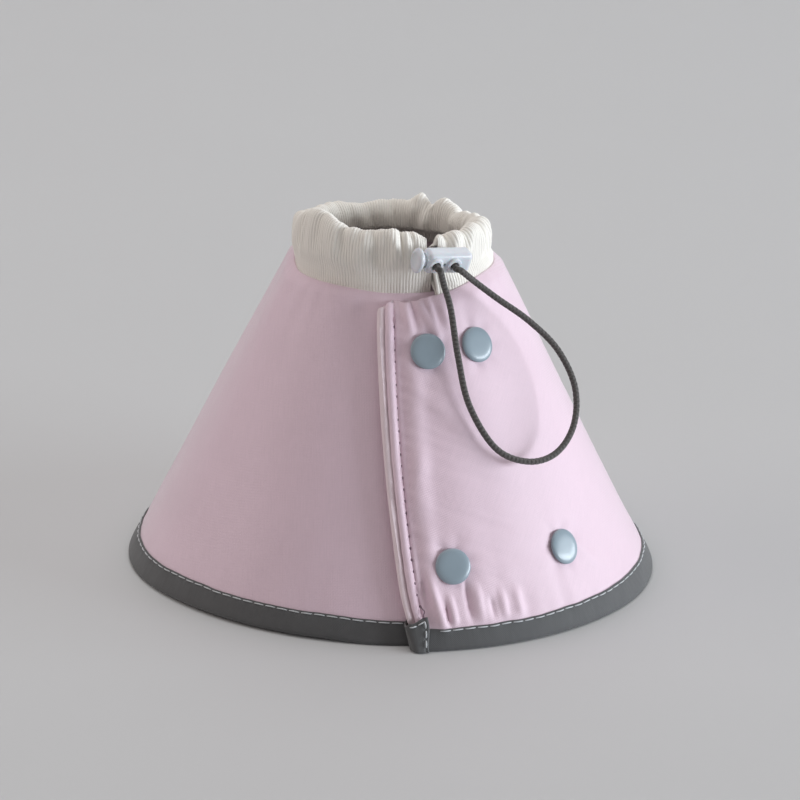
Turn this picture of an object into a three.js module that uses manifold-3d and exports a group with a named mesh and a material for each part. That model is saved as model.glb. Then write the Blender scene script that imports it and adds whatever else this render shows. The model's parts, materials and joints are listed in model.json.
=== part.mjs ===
// A small elizabethan collar: a soft cone of padded fabric that wraps round and closes with four
// snaps, with a ribbed neck cuff gathered by an elastic drawcord and a cord lock.
// Millimetres, +Z up. The front of the collar faces -Y, and the neck is at the top.
import * as THREE from "three";
import { mergeVertices } from "three/addons/utils/BufferGeometryUtils.js";
import { RoundedBoxGeometry } from "three/addons/geometries/RoundedBoxGeometry.js";
import Module from "manifold-3d";

const wasm = await Module();
wasm.setup();

const { degToRad, lerp, smoothstep } = THREE.MathUtils;

// ---- Driving dimensions ------------------------------------------------------------------------

// The cone's inner wall face.
const BASE_RADIUS = 87;
const TAPER = 0.5; // radius lost per millimetre of height
const NECK_HEIGHT = 111.6;
const NECK_LEAN = -1.8; // how far the neck sits to the left of the base's centre
const SLOPE = Math.atan(TAPER);

// The sheet wraps round in "turns": degrees from the front, clockwise seen from above.
// It starts under the flap, goes round the left side and the back, and ends at the flap's free edge.
const HIDDEN_END = -62;
const HINGE_TURN = 280;
const FLAP_EDGE_AT_BASE = 354.4;
const FLAP_EDGE_SLANT = 0.1; // degrees of turn per millimetre of height
const WRAP_STEP = 6;

// The sheet climbs outward as it wraps, so that the flap lies over its own start.
const WRAP_LIFT = 5;
const LIFT_FROM = 6;
const LIFT_TO = 295;

// Depths through the wall, from its inner face outward.
const LINING = [0, 0.4];
const STIFFENER = [0.65, 1.65];
const OUTER_FABRIC = [1.9, 2.4];
const WALL = OUTER_FABRIC[1];
const HEM = 1.2; // the layers end this far above the ground, inside the binding
const STIFFENER_MARGIN = 4; // the stiffener stops this short of the neck edge

const BINDING_HEIGHT = 8;
const BINDING_THICKNESS = 0.7;
const TAB_HEIGHT = 10.4;
const TAB_WIDTH = 5.2; // degrees of turn
const TAB_THICKNESS = 0.6;
const LAYER_GAP = 0.1;
const HINGE_GAP = 0.4;

// The neck edge dips at the front, under the flap and on it.
const NECK_DIP = 4;

// Snaps: heights at the middle of each cap, and depths measured outward from the flap's outer face.
const CAP_RADIUS = 6.2;
const CAP_RISE = 1.8;
const POST_RADIUS = 1;
const POST_HOLE_RADIUS = 1.35;
const SNAP_SEGMENTS = 20;
const SNAPS = {
  upper_left: { turn: -15.9, height: 91.3 },
  upper_right: { turn: -38, height: 91.5 },
  lower_left: { turn: -16.4, height: 25.2 },
  lower_right: { turn: -48.1, height: 24.5 },
};

// The gathered cuff.
const CUFF_RADIUS = 32;
const CUFF_BASE = 110;
const CUFF_TILT = 2; // the rim is this much higher at the front, and lower at the back
const CUFF_BLEND = 6; // height over which the cuff leaves the wall's outline for its own round one
const CUFF_START = -17.7;
const CUFF_END = 325.3;
const TUNNEL = { radial: -0.3, height: 9, radius: 1.6 };

// The drawcord and its lock.
const CORD_RADIUS = 1.1;
const LOCK_TURN = -26.2;
const LOCK_EXIT = { radius: 44, height: 119.5 };
const LOCK_TILT = degToRad(20); // how far the cord holes point down from level
const LOCK_ROLL = degToRad(6); // how far the plain end hangs lower than the plunger's
const LOCK_BODY = { left: -6.6, right: 10.8, depth: 6, width: 8.2 };
const COLLAR_RISE = 1;
const COLLAR_RADIUS = 2.75;
const HOLE_SPACING = 7.2;
const HOLE_RADIUS = 1.4;
const BORE_RADIUS = 2.4;
const BORE_END = 9.9;
const STEM_RADIUS = 2.1;
const STEM_END = 5.8;
const STEM_SLOT_WIDTH = 2.7;
const PLUNGER_TRAVEL = 1.4;
const HEAD_GAP = 1.6;
const HEAD = { thickness: 2, depth: 7.6, width: 9.2 };
const LOOP_START = 1.3; // the loop's ends stand this far out of the lock, so that it can swing

// ---- Helpers -----------------------------------------------------------------------------------

// One closed body with shared vertices, facing out.
function solid(geometry) {
  const bare = geometry.clone();
  bare.deleteAttribute("normal");
  bare.deleteAttribute("uv");
  const merged = mergeVertices(bare, 1e-4);
  if (signedVolume(merged) < 0) {
    const index = merged.index.array;
    for (let i = 0; i < index.length; i += 3) {
      [index[i], index[i + 1]] = [index[i + 1], index[i]];
    }
  }
  return merged;
}

function signedVolume(geometry) {
  const position = geometry.attributes.position;
  const index = geometry.index.array;
  const [a, b, c] = [new THREE.Vector3(), new THREE.Vector3(), new THREE.Vector3()];
  let sum = 0;
  for (let i = 0; i < index.length; i += 3) {
    a.fromBufferAttribute(position, index[i]);
    b.fromBufferAttribute(position, index[i + 1]);
    c.fromBufferAttribute(position, index[i + 2]);
    sum += a.dot(b.cross(c)) / 6;
  }
  return sum;
}

function toManifold(geometry) {
  const closed = solid(geometry);
  return new wasm.Manifold(new wasm.Mesh({
    numProp: 3,
    vertProperties: new Float32Array(closed.attributes.position.array),
    triVerts: new Uint32Array(closed.index.array),
  }));
}

function toGeometry(manifold) {
  const mesh = manifold.getMesh();
  const geometry = new THREE.BufferGeometry();
  geometry.setAttribute("position", new THREE.BufferAttribute(mesh.vertProperties, 3));
  geometry.setIndex(new THREE.BufferAttribute(mesh.triVerts, 1));
  return geometry;
}

function subtract(geometry, cutters) {
  let result = toManifold(geometry);
  for (const cutter of cutters) {
    result = result.subtract(toManifold(cutter));
  }
  return toGeometry(result);
}

function join(first, ...others) {
  let result = toManifold(first);
  for (const other of others) {
    result = result.add(toManifold(other));
  }
  return toGeometry(result);
}

function polygon(points) {
  return new THREE.Shape(points.map(([x, y]) => new THREE.Vector2(x, y)));
}

function disc(radius) {
  return new THREE.Shape().absarc(0, 0, radius, 0, 2 * Math.PI);
}

// Moves every vertex to where place(x, y, z) says.
function bend(geometry, place) {
  const position = geometry.attributes.position;
  for (let i = 0; i < position.count; i += 1) {
    const point = place(position.getX(i), position.getY(i), position.getZ(i));
    position.setXYZ(i, point.x, point.y, point.z);
  }
  return geometry;
}

function piece(name, geometry, look) {
  const mesh = new THREE.Mesh(solid(geometry), new THREE.MeshStandardMaterial(look));
  mesh.name = name;
  mesh.geometry.computeVertexNormals();
  return mesh;
}

// ---- Looks -------------------------------------------------------------------------------------

const PINK_FABRIC = { color: 0xecd6de, roughness: 0.62, metalness: 0 };
const FOAM = { color: 0xf3f1ec, roughness: 0.9, metalness: 0 };
const LINING_FABRIC = { color: 0xf0e2e6, roughness: 0.7, metalness: 0 };
const GREY_BINDING = { color: 0x6f6e70, roughness: 0.75, metalness: 0 };
const RIB_KNIT = { color: 0xebe7e1, roughness: 0.85, metalness: 0 };
const GREY_CORD = { color: 0x5d5b5e, roughness: 0.8, metalness: 0 };
const BLUE_GREY_PLASTIC = { color: 0x93a3ae, roughness: 0.28, metalness: 0 };
const WHITE_PLASTIC = { color: 0xe2e5ea, roughness: 0.35, metalness: 0 };
const SPRING_STEEL = { color: 0xb9bcc0, roughness: 0.35, metalness: 1 };

// ---- The cone's wall ---------------------------------------------------------------------------

function wrapLift(turn) {
  return WRAP_LIFT * THREE.MathUtils.clamp((turn - LIFT_FROM) / (LIFT_TO - LIFT_FROM), 0, 1);
}

function wallRadius(turn, height, depth) {
  return BASE_RADIUS - TAPER * height + (depth + wrapLift(turn)) / Math.cos(SLOPE);
}

function ringPoint(turn, radius, height) {
  const angle = degToRad(turn);
  const lean = NECK_LEAN * height / NECK_HEIGHT;
  return new THREE.Vector3(lean - radius * Math.sin(angle), -radius * Math.cos(angle), height);
}

function wallPoint(turn, height, depth) {
  return ringPoint(turn, wallRadius(turn, height, depth), height);
}

function outwardAt(turn) {
  const angle = degToRad(turn);
  return new THREE.Vector3(-Math.sin(angle), -Math.cos(angle), 0);
}

function neckHeight(turn) {
  const underFlap = 1 - smoothstep(turn, 0, 40);
  const onFlap = smoothstep(turn, 295, 345);
  return NECK_HEIGHT - NECK_DIP * Math.max(underFlap, onFlap);
}

function flapEdge(height) {
  return FLAP_EDGE_AT_BASE + FLAP_EDGE_SLANT * height;
}

// The two sides of the hinge line keep an even gap at every height.
function hingeSide(height, side) {
  const halfGap = THREE.MathUtils.radToDeg(HINGE_GAP / 2 / wallRadius(HINGE_TURN, height, 0));
  return HINGE_TURN + side * halfGap;
}

const CONE_SPAN = { from: () => HIDDEN_END, to: (height) => hingeSide(height, -1) };
const FLAP_SPAN = { from: (height) => hingeSide(height, 1), to: flapEdge };

// Sweeps a cross-section, drawn as depth across and height up, round the wall.
function sweepWall(section, span, heightAt = (height) => height) {
  const middle = NECK_HEIGHT / 2;
  const steps = Math.round((span.to(middle) - span.from(middle)) / WRAP_STEP);
  const strip = new THREE.ExtrudeGeometry(section, { depth: 1, steps, bevelEnabled: false });
  return bend(strip, (depth, height, along) => {
    const turn = lerp(span.from(height), span.to(height), along);
    return wallPoint(turn, heightAt(height, turn), depth);
  });
}

// A layer of the sheet, with a few rows up its height so that a slanted end stays on the cone.
function layer([inner, outer], span, top = NECK_HEIGHT) {
  const rows = [...[0, 0.25, 0.5, 0.75].map((part) => lerp(HEM, NECK_HEIGHT, part)), top];
  const outline = [
    ...rows.map((height) => [inner, height]),
    ...rows.toReversed().map((height) => [outer, height]),
  ];
  const fitNeck = (height, turn) => height * neckHeight(turn) / NECK_HEIGHT;
  const sheet = sweepWall(polygon(outline), span, fitNeck);
  return subtract(sheet, Object.values(SNAPS).map(snapHole));
}

// A folded strip over the bottom edge: outer leg, sole on the ground and inner leg.
function binding(span) {
  const inside = -LAYER_GAP;
  const outside = WALL + LAYER_GAP;
  const sole = BINDING_THICKNESS;
  return sweepWall(polygon([
    [inside - BINDING_THICKNESS, 0],
    [outside + BINDING_THICKNESS, 0],
    [outside + BINDING_THICKNESS, BINDING_HEIGHT],
    [outside, BINDING_HEIGHT],
    [outside, sole],
    [inside, sole],
    [inside, BINDING_HEIGHT - 1],
    [inside - BINDING_THICKNESS, BINDING_HEIGHT - 1],
  ]), span);
}

// The binding's folded end, a sleeve round the flap's bottom corner, open towards the flap.
function bindingEndTab() {
  const inner = -BINDING_THICKNESS - 2 * LAYER_GAP;
  const outer = WALL + BINDING_THICKNESS + 2 * LAYER_GAP;
  const closedEnd = 0.3;
  const wallAngle = 0.4;
  const outline = polygon([
    [outer + TAB_THICKNESS, -TAB_WIDTH],
    [outer + TAB_THICKNESS, closedEnd + wallAngle],
    [inner - TAB_THICKNESS, closedEnd + wallAngle],
    [inner - TAB_THICKNESS, -TAB_WIDTH],
    [inner, -TAB_WIDTH],
    [inner, closedEnd],
    [outer, closedEnd],
    [outer, -TAB_WIDTH],
  ]);
  const sleeve = new THREE.ExtrudeGeometry(outline, { depth: TAB_HEIGHT, bevelEnabled: false });
  return bend(sleeve, (depth, along, height) => wallPoint(flapEdge(height) + along, height, depth));
}

// ---- Snaps -------------------------------------------------------------------------------------

// A group whose +Y points straight out of the flap's outer face at a snap.
function snapGroup({ turn, height }) {
  const group = new THREE.Group();
  const outward = outwardAt(turn).multiplyScalar(Math.cos(SLOPE));
  outward.z = Math.sin(SLOPE);
  group.position.copy(ringPoint(turn, wallRadius(turn, height, WALL + WRAP_LIFT), height));
  group.quaternion.setFromUnitVectors(new THREE.Vector3(0, 1, 0), outward);
  group.updateMatrix();
  return group;
}

function snapHole(snap) {
  const reach = 2 * (WALL + WRAP_LIFT);
  const cutter = new THREE.CylinderGeometry(POST_HOLE_RADIUS, POST_HOLE_RADIUS, reach, 12);
  return cutter.translate(0, -WALL - WRAP_LIFT / 2, 0).applyMatrix4(snapGroup(snap).matrix);
}

function turned(profile) {
  return new THREE.LatheGeometry(profile.map(([x, y]) => new THREE.Vector2(x, y)), SNAP_SEGMENTS);
}

// A closed dome from its rim to its middle, on the side that sign points to.
function domeProfile(rim, sign) {
  return [
    [CAP_RADIUS - 0.3, rim],
    [CAP_RADIUS, rim + sign * 0.4],
    [CAP_RADIUS - 0.5, rim + sign * 1.1],
    [CAP_RADIUS * 0.65, rim + sign * 1.6],
    [0, rim + sign * CAP_RISE],
  ];
}

const SOCKET_TOP = -2.8;
const SOCKET_MOUTH = -4.2;
const SOCKET_FLOOR = -3.25;
const SOCKET_RADIUS = 4.8;
const TIP = { top: -3.3, bottom: -3.6, radius: 1.55 };
const STUD_BASE = -WRAP_LIFT + 0.1;
const STUD_FLANGE = -4.4;
const STUD_TOP = -3.75;
const STUD_RADIUS = 5;
const STUD_HEAD_RADIUS = 1.8;
const SOCKET_BORE = 2.1;
const SOCKET_LEAD_IN = 2.7;
const INNER_CAP_RIM = -WALL - WRAP_LIFT - 0.55;
const INNER_POST_TOP = -3.8;
const THROUGH_HOLE = 1.3;

// The outer cap, with the post that is crushed over in the socket.
function snapCap() {
  return turned([
    [0, TIP.bottom],
    [TIP.radius, TIP.bottom],
    [TIP.radius, TIP.top],
    [POST_RADIUS, TIP.top],
    [POST_RADIUS, 0.15],
    ...domeProfile(0.15, 1),
  ]);
}

function snapSocket() {
  return turned([
    [THROUGH_HOLE, SOCKET_TOP],
    [SOCKET_RADIUS, SOCKET_TOP],
    [SOCKET_RADIUS, SOCKET_MOUTH],
    [SOCKET_LEAD_IN, SOCKET_MOUTH],
    [SOCKET_BORE, SOCKET_FLOOR],
    [THROUGH_HOLE, SOCKET_FLOOR],
    [THROUGH_HOLE, SOCKET_TOP],
  ]);
}

function snapStud() {
  return turned([
    [THROUGH_HOLE, STUD_BASE],
    [STUD_RADIUS, STUD_BASE],
    [STUD_RADIUS, STUD_FLANGE],
    [STUD_HEAD_RADIUS - 0.1, STUD_FLANGE],
    [STUD_HEAD_RADIUS, STUD_TOP - 0.2],
    [STUD_HEAD_RADIUS - 0.2, STUD_TOP],
    [THROUGH_HOLE, STUD_TOP],
    [THROUGH_HOLE, STUD_BASE],
  ]);
}

function snapInnerCap() {
  return turned([
    [0, INNER_POST_TOP],
    [POST_RADIUS, INNER_POST_TOP],
    [POST_RADIUS, INNER_CAP_RIM],
    ...domeProfile(INNER_CAP_RIM, -1),
  ]);
}

function placeSnaps(group, prefix, geometry) {
  for (const [place, snap] of Object.entries(SNAPS)) {
    const holder = snapGroup(snap);
    holder.add(piece(`${prefix}_${place}`, geometry, BLUE_GREY_PLASTIC));
    group.add(holder);
  }
}

// ---- Neck cuff ---------------------------------------------------------------------------------

// From the cuff's own section, drawn from the neck edge, to its place round the neck.
function cuffPoint(turn, radial, height) {
  const edge = neckHeight(turn);
  const rise = smoothstep(height, 0, CUFF_BLEND);
  const tilt = CUFF_TILT * Math.cos(degToRad(turn));
  const z = lerp(edge + height, CUFF_BASE + tilt + height, rise);
  const radius = lerp(wallRadius(turn, z, 0), CUFF_RADIUS, rise);
  return ringPoint(turn, radius + radial, z);
}

const CUFF_OUTLINE = [
  [-1.3, -6],
  [-0.4, -6],
  [-0.4, 0.6],
  [2.4, 0.9],
  [3.6, 4.5],
  [3.8, 8],
  [2.6, 12],
  [-0.5, 15.2],
  [-3, 15.8],
  [-4.6, 14],
  [-4.4, 9],
  [-3.4, 4],
  [-1.4, 0.6],
];

function sweepCuff(section, from, to, curveSegments) {
  const steps = Math.round((to - from) / WRAP_STEP);
  const strip = new THREE.ExtrudeGeometry(section, {
    depth: 1, steps, curveSegments, bevelEnabled: false,
  });
  return bend(strip, (radial, height, along) => cuffPoint(lerp(from, to, along), radial, height));
}

function cuff(from, to) {
  const section = polygon(CUFF_OUTLINE);
  section.holes.push(new THREE.Path().absarc(
    TUNNEL.radial, TUNNEL.height, TUNNEL.radius, 0, 2 * Math.PI));
  return sweepCuff(section, from, to, 4);
}

function cordInTunnel(from, to) {
  const section = new THREE.Shape().absarc(
    TUNNEL.radial, TUNNEL.height, CORD_RADIUS, 0, 2 * Math.PI);
  return sweepCuff(section, from, to, 4);
}

// The hinge gap, in degrees of turn, at the cuff's smaller radius.
const CUFF_HINGE_GAP = THREE.MathUtils.radToDeg(HINGE_GAP / 2 / (CUFF_RADIUS - 5));

// ---- Cord lock and free cord -------------------------------------------------------------------

const HOLE_DIRECTION = outwardAt(LOCK_TURN).multiplyScalar(Math.cos(LOCK_TILT))
  .add(new THREE.Vector3(0, 0, -Math.sin(LOCK_TILT)));
const LEVEL_DIRECTION = new THREE.Vector3(0, 0, 1).cross(outwardAt(LOCK_TURN));
const BARREL_DIRECTION = LEVEL_DIRECTION.clone().multiplyScalar(Math.cos(LOCK_ROLL))
  .addScaledVector(LEVEL_DIRECTION.clone().cross(HOLE_DIRECTION), Math.sin(LOCK_ROLL));
const EXIT_REACH = LOCK_BODY.depth / 2 + COLLAR_RISE;
const LOCK_CENTRE = ringPoint(LOCK_TURN, LOCK_EXIT.radius, LOCK_EXIT.height)
  .addScaledVector(HOLE_DIRECTION, -EXIT_REACH);

// +X runs along the barrel, away from the plunger's head; +Y runs out along the cord holes.
function lockGroup() {
  const group = new THREE.Group();
  const across = BARREL_DIRECTION.clone().cross(HOLE_DIRECTION);
  const basis = new THREE.Matrix4().makeBasis(BARREL_DIRECTION, HOLE_DIRECTION, across);
  group.position.copy(LOCK_CENTRE);
  group.quaternion.setFromRotationMatrix(basis);
  return group;
}

function alongBarrel(radius, from, to, segments = 20) {
  const rod = new THREE.CylinderGeometry(radius, radius, to - from, segments);
  return rod.rotateZ(Math.PI / 2).translate((from + to) / 2, 0, 0);
}

function acrossBarrel(radius, x, from, to) {
  const rod = new THREE.CylinderGeometry(radius, radius, to - from, 20);
  return rod.translate(x, (from + to) / 2, 0);
}

function lockBody() {
  const { left, right, depth, width } = LOCK_BODY;
  const shell = new RoundedBoxGeometry(right - left, depth, width, 3, 1.9);
  shell.translate((left + right) / 2, 0, 0);
  const sides = [-HOLE_SPACING / 2, HOLE_SPACING / 2];
  const collars = sides.map((x) => acrossBarrel(COLLAR_RADIUS, x, 0, EXIT_REACH));
  const holes = sides.map((x) => acrossBarrel(HOLE_RADIUS, x, -depth, depth));
  const bore = alongBarrel(BORE_RADIUS, left - 1, BORE_END);
  return subtract(join(shell, ...collars), [bore, ...holes]);
}

// A flat oval head on a slotted stem; the cords pass through the slots.
function lockPlunger() {
  const headEnd = LOCK_BODY.left - HEAD_GAP;
  const head = alongBarrel(1, headEnd - HEAD.thickness, headEnd, 28)
    .scale(1, HEAD.depth / 2, HEAD.width / 2);
  const stem = alongBarrel(STEM_RADIUS, headEnd - HEAD.thickness / 2, STEM_END);
  const slots = [-HOLE_SPACING / 2, HOLE_SPACING / 2].map((x) => {
    const length = 2 * HOLE_RADIUS + PLUNGER_TRAVEL;
    const slot = new THREE.BoxGeometry(length, 3 * STEM_RADIUS, STEM_SLOT_WIDTH);
    return slot.translate(x - PLUNGER_TRAVEL / 2, 0, 0);
  });
  return subtract(join(head, stem), slots);
}

class Helix extends THREE.Curve {
  constructor(radius, from, to, turns) {
    super();
    Object.assign(this, { radius, from, to, turns });
  }

  getPoint(part) {
    const angle = 2 * Math.PI * this.turns * part;
    const x = lerp(this.from, this.to, part);
    return new THREE.Vector3(x, this.radius * Math.cos(angle), this.radius * Math.sin(angle));
  }
}

function lockSpring() {
  const wire = 0.22;
  const turns = 3;
  const coil = new Helix(1.8, STEM_END + 0.5, BORE_END - 0.5, turns);
  return new THREE.ExtrudeGeometry(disc(wire), {
    steps: 12 * turns, curveSegments: 3, extrudePath: coil, bevelEnabled: false,
  });
}

function cordAlong(points, steps) {
  const path = new THREE.CatmullRomCurve3(points, false, "centripetal");
  return new THREE.ExtrudeGeometry(disc(CORD_RADIUS), {
    steps, curveSegments: 4, extrudePath: path, bevelEnabled: false,
  });
}

// A point given from the lock's centre: along the barrel and along the cord holes.
function lockPoint(along, out) {
  return LOCK_CENTRE.clone()
    .addScaledVector(BARREL_DIRECTION, along)
    .addScaledVector(HOLE_DIRECTION, out);
}

// From the end of the cuff's tunnel, out through its slit and straight through the lock.
function cordLeg(side) {
  const cuffEnd = side < 0 ? CUFF_START : CUFF_END - 360;
  const x = side * HOLE_SPACING / 2;
  const start = cuffPoint(cuffEnd + side * 1.8, TUNNEL.radial, TUNNEL.height);
  const bow = cuffPoint(cuffEnd + side * 2.6, TUNNEL.radial + 1.8, TUNNEL.height + 0.6);
  return cordAlong([
    start,
    bow,
    lockPoint(x, -EXIT_REACH - 1.6),
    lockPoint(x, -EXIT_REACH + 0.4),
    lockPoint(x, 0),
    lockPoint(x, EXIT_REACH - 0.2),
  ], 22);
}

// The free loop's centre line, square on to the cone: across the front, and down its slope.
const LOOP_OUTLINE = [
  [-1.35, 5.9],
  [0.1, 14.5],
  [0.1, 30.7],
  [1.3, 47.9],
  [8.5, 63.6],
  [19.9, 69.6],
  [31.1, 67.9],
  [39.6, 59.1],
  [42.5, 46.1],
  [38.3, 32.6],
  [29.2, 21.6],
  [18.3, 12.6],
  [10.7, 6.2],
];
const LOOP_SINK = 2.75; // how far the loop drops towards the cone, away from the lock
const LOOP_SINK_LENGTH = 12;

function drawcordLoop() {
  const outward = outwardAt(LOCK_TURN);
  const downSlope = outward.clone().multiplyScalar(Math.sin(SLOPE));
  downSlope.z = -Math.cos(SLOPE);
  const offCone = outward.clone().multiplyScalar(Math.cos(SLOPE));
  offCone.z = Math.sin(SLOPE);
  const exit = lockPoint(0, EXIT_REACH);
  const hanging = LOOP_OUTLINE.map(([across, down]) => {
    const sink = LOOP_SINK * (1 - Math.exp(-down / LOOP_SINK_LENGTH));
    return exit.clone()
      .addScaledVector(LEVEL_DIRECTION, across)
      .addScaledVector(downSlope, down)
      .addScaledVector(offCone, -sink);
  });
  const half = HOLE_SPACING / 2;
  const out = EXIT_REACH + LOOP_START;
  return cordAlong([
    lockPoint(-half, out),
    lockPoint(-half + 0.4, out + 1.1),
    ...hanging,
    lockPoint(half + 1.4, out + 1.2),
    lockPoint(half, out),
  ], 56);
}

// ---- Assembly ----------------------------------------------------------------------------------

function buildCone() {
  const cone = new THREE.Group();
  const cuffTo = HINGE_TURN - CUFF_HINGE_GAP;
  const stiffenerTop = NECK_HEIGHT - STIFFENER_MARGIN;
  cone.add(piece("cone_outer_fabric", layer(OUTER_FABRIC, CONE_SPAN), PINK_FABRIC));
  cone.add(piece("cone_stiffener", layer(STIFFENER, CONE_SPAN, stiffenerTop), FOAM));
  cone.add(piece("cone_lining", layer(LINING, CONE_SPAN), LINING_FABRIC));
  cone.add(piece("edge_binding", binding(CONE_SPAN), GREY_BINDING));
  cone.add(piece("neck_cuff", cuff(CUFF_START, cuffTo), RIB_KNIT));
  cone.add(piece("drawcord_neck_run", cordInTunnel(CUFF_START, cuffTo), GREY_CORD));
  placeSnaps(cone, "snap_stud", snapStud());
  placeSnaps(cone, "snap_inner_cap", snapInnerCap());
  return cone;
}

function buildFlap() {
  const flap = new THREE.Group();
  const cuffFrom = HINGE_TURN + CUFF_HINGE_GAP;
  const stiffenerTop = NECK_HEIGHT - STIFFENER_MARGIN;
  flap.add(piece("flap_outer_fabric", layer(OUTER_FABRIC, FLAP_SPAN), PINK_FABRIC));
  flap.add(piece("flap_stiffener", layer(STIFFENER, FLAP_SPAN, stiffenerTop), FOAM));
  flap.add(piece("flap_lining", layer(LINING, FLAP_SPAN), LINING_FABRIC));
  flap.add(piece("flap_binding", binding(FLAP_SPAN), GREY_BINDING));
  flap.add(piece("binding_end_tab", bindingEndTab(), GREY_BINDING));
  flap.add(piece("neck_cuff_flap_side", cuff(cuffFrom, CUFF_END), RIB_KNIT));
  flap.add(piece("drawcord_flap_run", cordInTunnel(cuffFrom, CUFF_END), GREY_CORD));
  flap.add(piece("drawcord_leg_left", cordLeg(-1), GREY_CORD));
  flap.add(piece("drawcord_leg_right", cordLeg(1), GREY_CORD));
  placeSnaps(flap, "snap_cap", snapCap());
  placeSnaps(flap, "snap_socket", snapSocket());
  return flap;
}

function buildCordLock() {
  const lock = lockGroup();
  lock.add(piece("cord_lock_body", lockBody(), WHITE_PLASTIC));
  lock.add(piece("cord_lock_plunger", lockPlunger(), WHITE_PLASTIC));
  lock.add(piece("cord_lock_spring", lockSpring(), SPRING_STEEL));
  return lock;
}

const collar = new THREE.Group();
collar.name = "elizabethan_collar";
collar.add(buildCone(), buildFlap(), buildCordLock());
collar.add(piece("drawcord_loop", drawcordLoop(), GREY_CORD));

// The origin is the middle of the collar's footprint, on the ground.
const bounds = new THREE.Box3().setFromObject(collar, true);
const middle = bounds.getCenter(new THREE.Vector3());
collar.position.set(-middle.x, -middle.y, -bounds.min.z);

export default collar;
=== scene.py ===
"""The looks of a small elizabethan collar: cloth wall, bound edge, snaps, cuff and cord lock.

Shapes are worked out in millimetres, in the row frame, and become metres when a mesh is made.
"Turn" is degrees from the front, clockwise seen from above, as in the CAD model.
"""
import json
import math

import bmesh
import bpy
import numpy as np
from mathutils import Matrix, Vector, noise


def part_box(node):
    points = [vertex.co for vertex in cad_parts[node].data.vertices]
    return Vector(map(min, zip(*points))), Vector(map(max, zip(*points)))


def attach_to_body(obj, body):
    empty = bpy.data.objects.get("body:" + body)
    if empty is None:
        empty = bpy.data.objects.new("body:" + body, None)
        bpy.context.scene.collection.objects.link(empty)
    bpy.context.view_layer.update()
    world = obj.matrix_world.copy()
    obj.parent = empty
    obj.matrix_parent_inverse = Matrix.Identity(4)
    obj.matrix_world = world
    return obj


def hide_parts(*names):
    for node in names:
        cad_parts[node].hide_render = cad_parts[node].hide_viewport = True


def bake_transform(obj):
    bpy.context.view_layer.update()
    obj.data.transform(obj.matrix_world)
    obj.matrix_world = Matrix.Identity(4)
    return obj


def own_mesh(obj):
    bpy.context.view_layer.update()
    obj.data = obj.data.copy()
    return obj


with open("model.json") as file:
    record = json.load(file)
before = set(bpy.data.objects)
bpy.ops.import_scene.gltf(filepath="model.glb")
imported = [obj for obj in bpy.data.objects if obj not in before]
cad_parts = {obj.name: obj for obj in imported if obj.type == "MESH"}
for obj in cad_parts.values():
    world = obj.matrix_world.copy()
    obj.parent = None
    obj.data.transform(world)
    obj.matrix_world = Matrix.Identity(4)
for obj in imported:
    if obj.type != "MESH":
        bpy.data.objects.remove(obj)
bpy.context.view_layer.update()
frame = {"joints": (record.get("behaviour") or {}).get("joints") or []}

MM = 0.001

# ---- Driving dimensions, as in the CAD model ----------------------------------------------------

BASE_RADIUS = 87
TAPER = 0.5
SLOPE = math.atan(TAPER)
NECK_HEIGHT = 111.6
NECK_LEAN = -1.8
NECK_DIP = 4
FLAP_TOP_DROP = 1.6
WRAP_LIFT = 5
LIFT_FROM = 6
LIFT_TO = 295
WALL = 2.4
HIDDEN_END = -62
HINGE_TURN = 280
HINGE_DEPTH = 3.5
FLAP_EDGE_AT_BASE = 354.4
FLAP_EDGE_SLANT = 0.1
SNAP_PLACES = ("upper_left", "upper_right", "lower_left", "lower_right")
CAP_RADIUS = 6.2

# The soft hem departs from the plain cone: the flap's foot is tucked in, the sides spread.
FLAP_FOOT_TUCK = 0.9
HEM_SPREAD = 2.3
HEM_SPREAD_HEIGHT = 22
HEM_SPREAD_REACH = 24
HEM_SPREAD_LEFT, HEM_SPREAD_RIGHT = 70, -76
HEM_FLAT_TURN = 114

# The sheet, the binding and the cuff change from the cone's piece to the flap's here.
SEAM_TURN = 240
# Stands for cone and flap together: the body of a piece that spans the flap's hinge line.
BENDING = "cone+flap"
# About the turn of the flap's free edge.
EDGE_TURN = 355
# Edges sharper than this many degrees aren't shaded smooth.
CLOTH_SHARP_ANGLE = 65
LOCK_SHARP_ANGLE = 32


def joint(name):
    return next(j for j in frame["joints"] if j["name"] == name)


def cone_axis():
    """Where the cone's own axis stands on the ground, from the place of the flap's hinge."""
    foot = np.array(joint("flap_open")["pos_m"]) / MM
    turn = math.radians(HINGE_TURN)
    radius = BASE_RADIUS + (HINGE_DEPTH + lift(HINGE_TURN)) / math.cos(SLOPE)
    return np.array([foot[0] + radius * math.sin(turn), foot[1] + radius * math.cos(turn)])


def lift(turn):
    """How far the sheet has climbed outward as it wraps."""
    return WRAP_LIFT * np.clip((np.asarray(turn, float) - LIFT_FROM) / (LIFT_TO - LIFT_FROM), 0, 1)


AXIS = cone_axis()


def smooth(value, low, high):
    t = np.clip((np.asarray(value, float) - low) / (high - low), 0, 1)
    return t * t * (3 - 2 * t)


def bell(distance, width):
    """A bump of 1 that has faded out at about twice its width."""
    return np.exp(-(distance / width) ** 2)


def hem_spread(turn, height):
    """How far the soft hem spreads at its left and right, and draws in behind its left."""
    turn = (np.asarray(turn, float) + 180) % 360 - 180
    left = bell(turn - HEM_SPREAD_LEFT, HEM_SPREAD_REACH)
    left = left - 0.7 * bell(turn - HEM_FLAT_TURN, HEM_SPREAD_REACH)
    right = bell(turn - HEM_SPREAD_RIGHT, HEM_SPREAD_REACH)
    return HEM_SPREAD * (left + 0.8 * right) * (1 - smooth(height, 0, HEM_SPREAD_HEIGHT))


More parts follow.
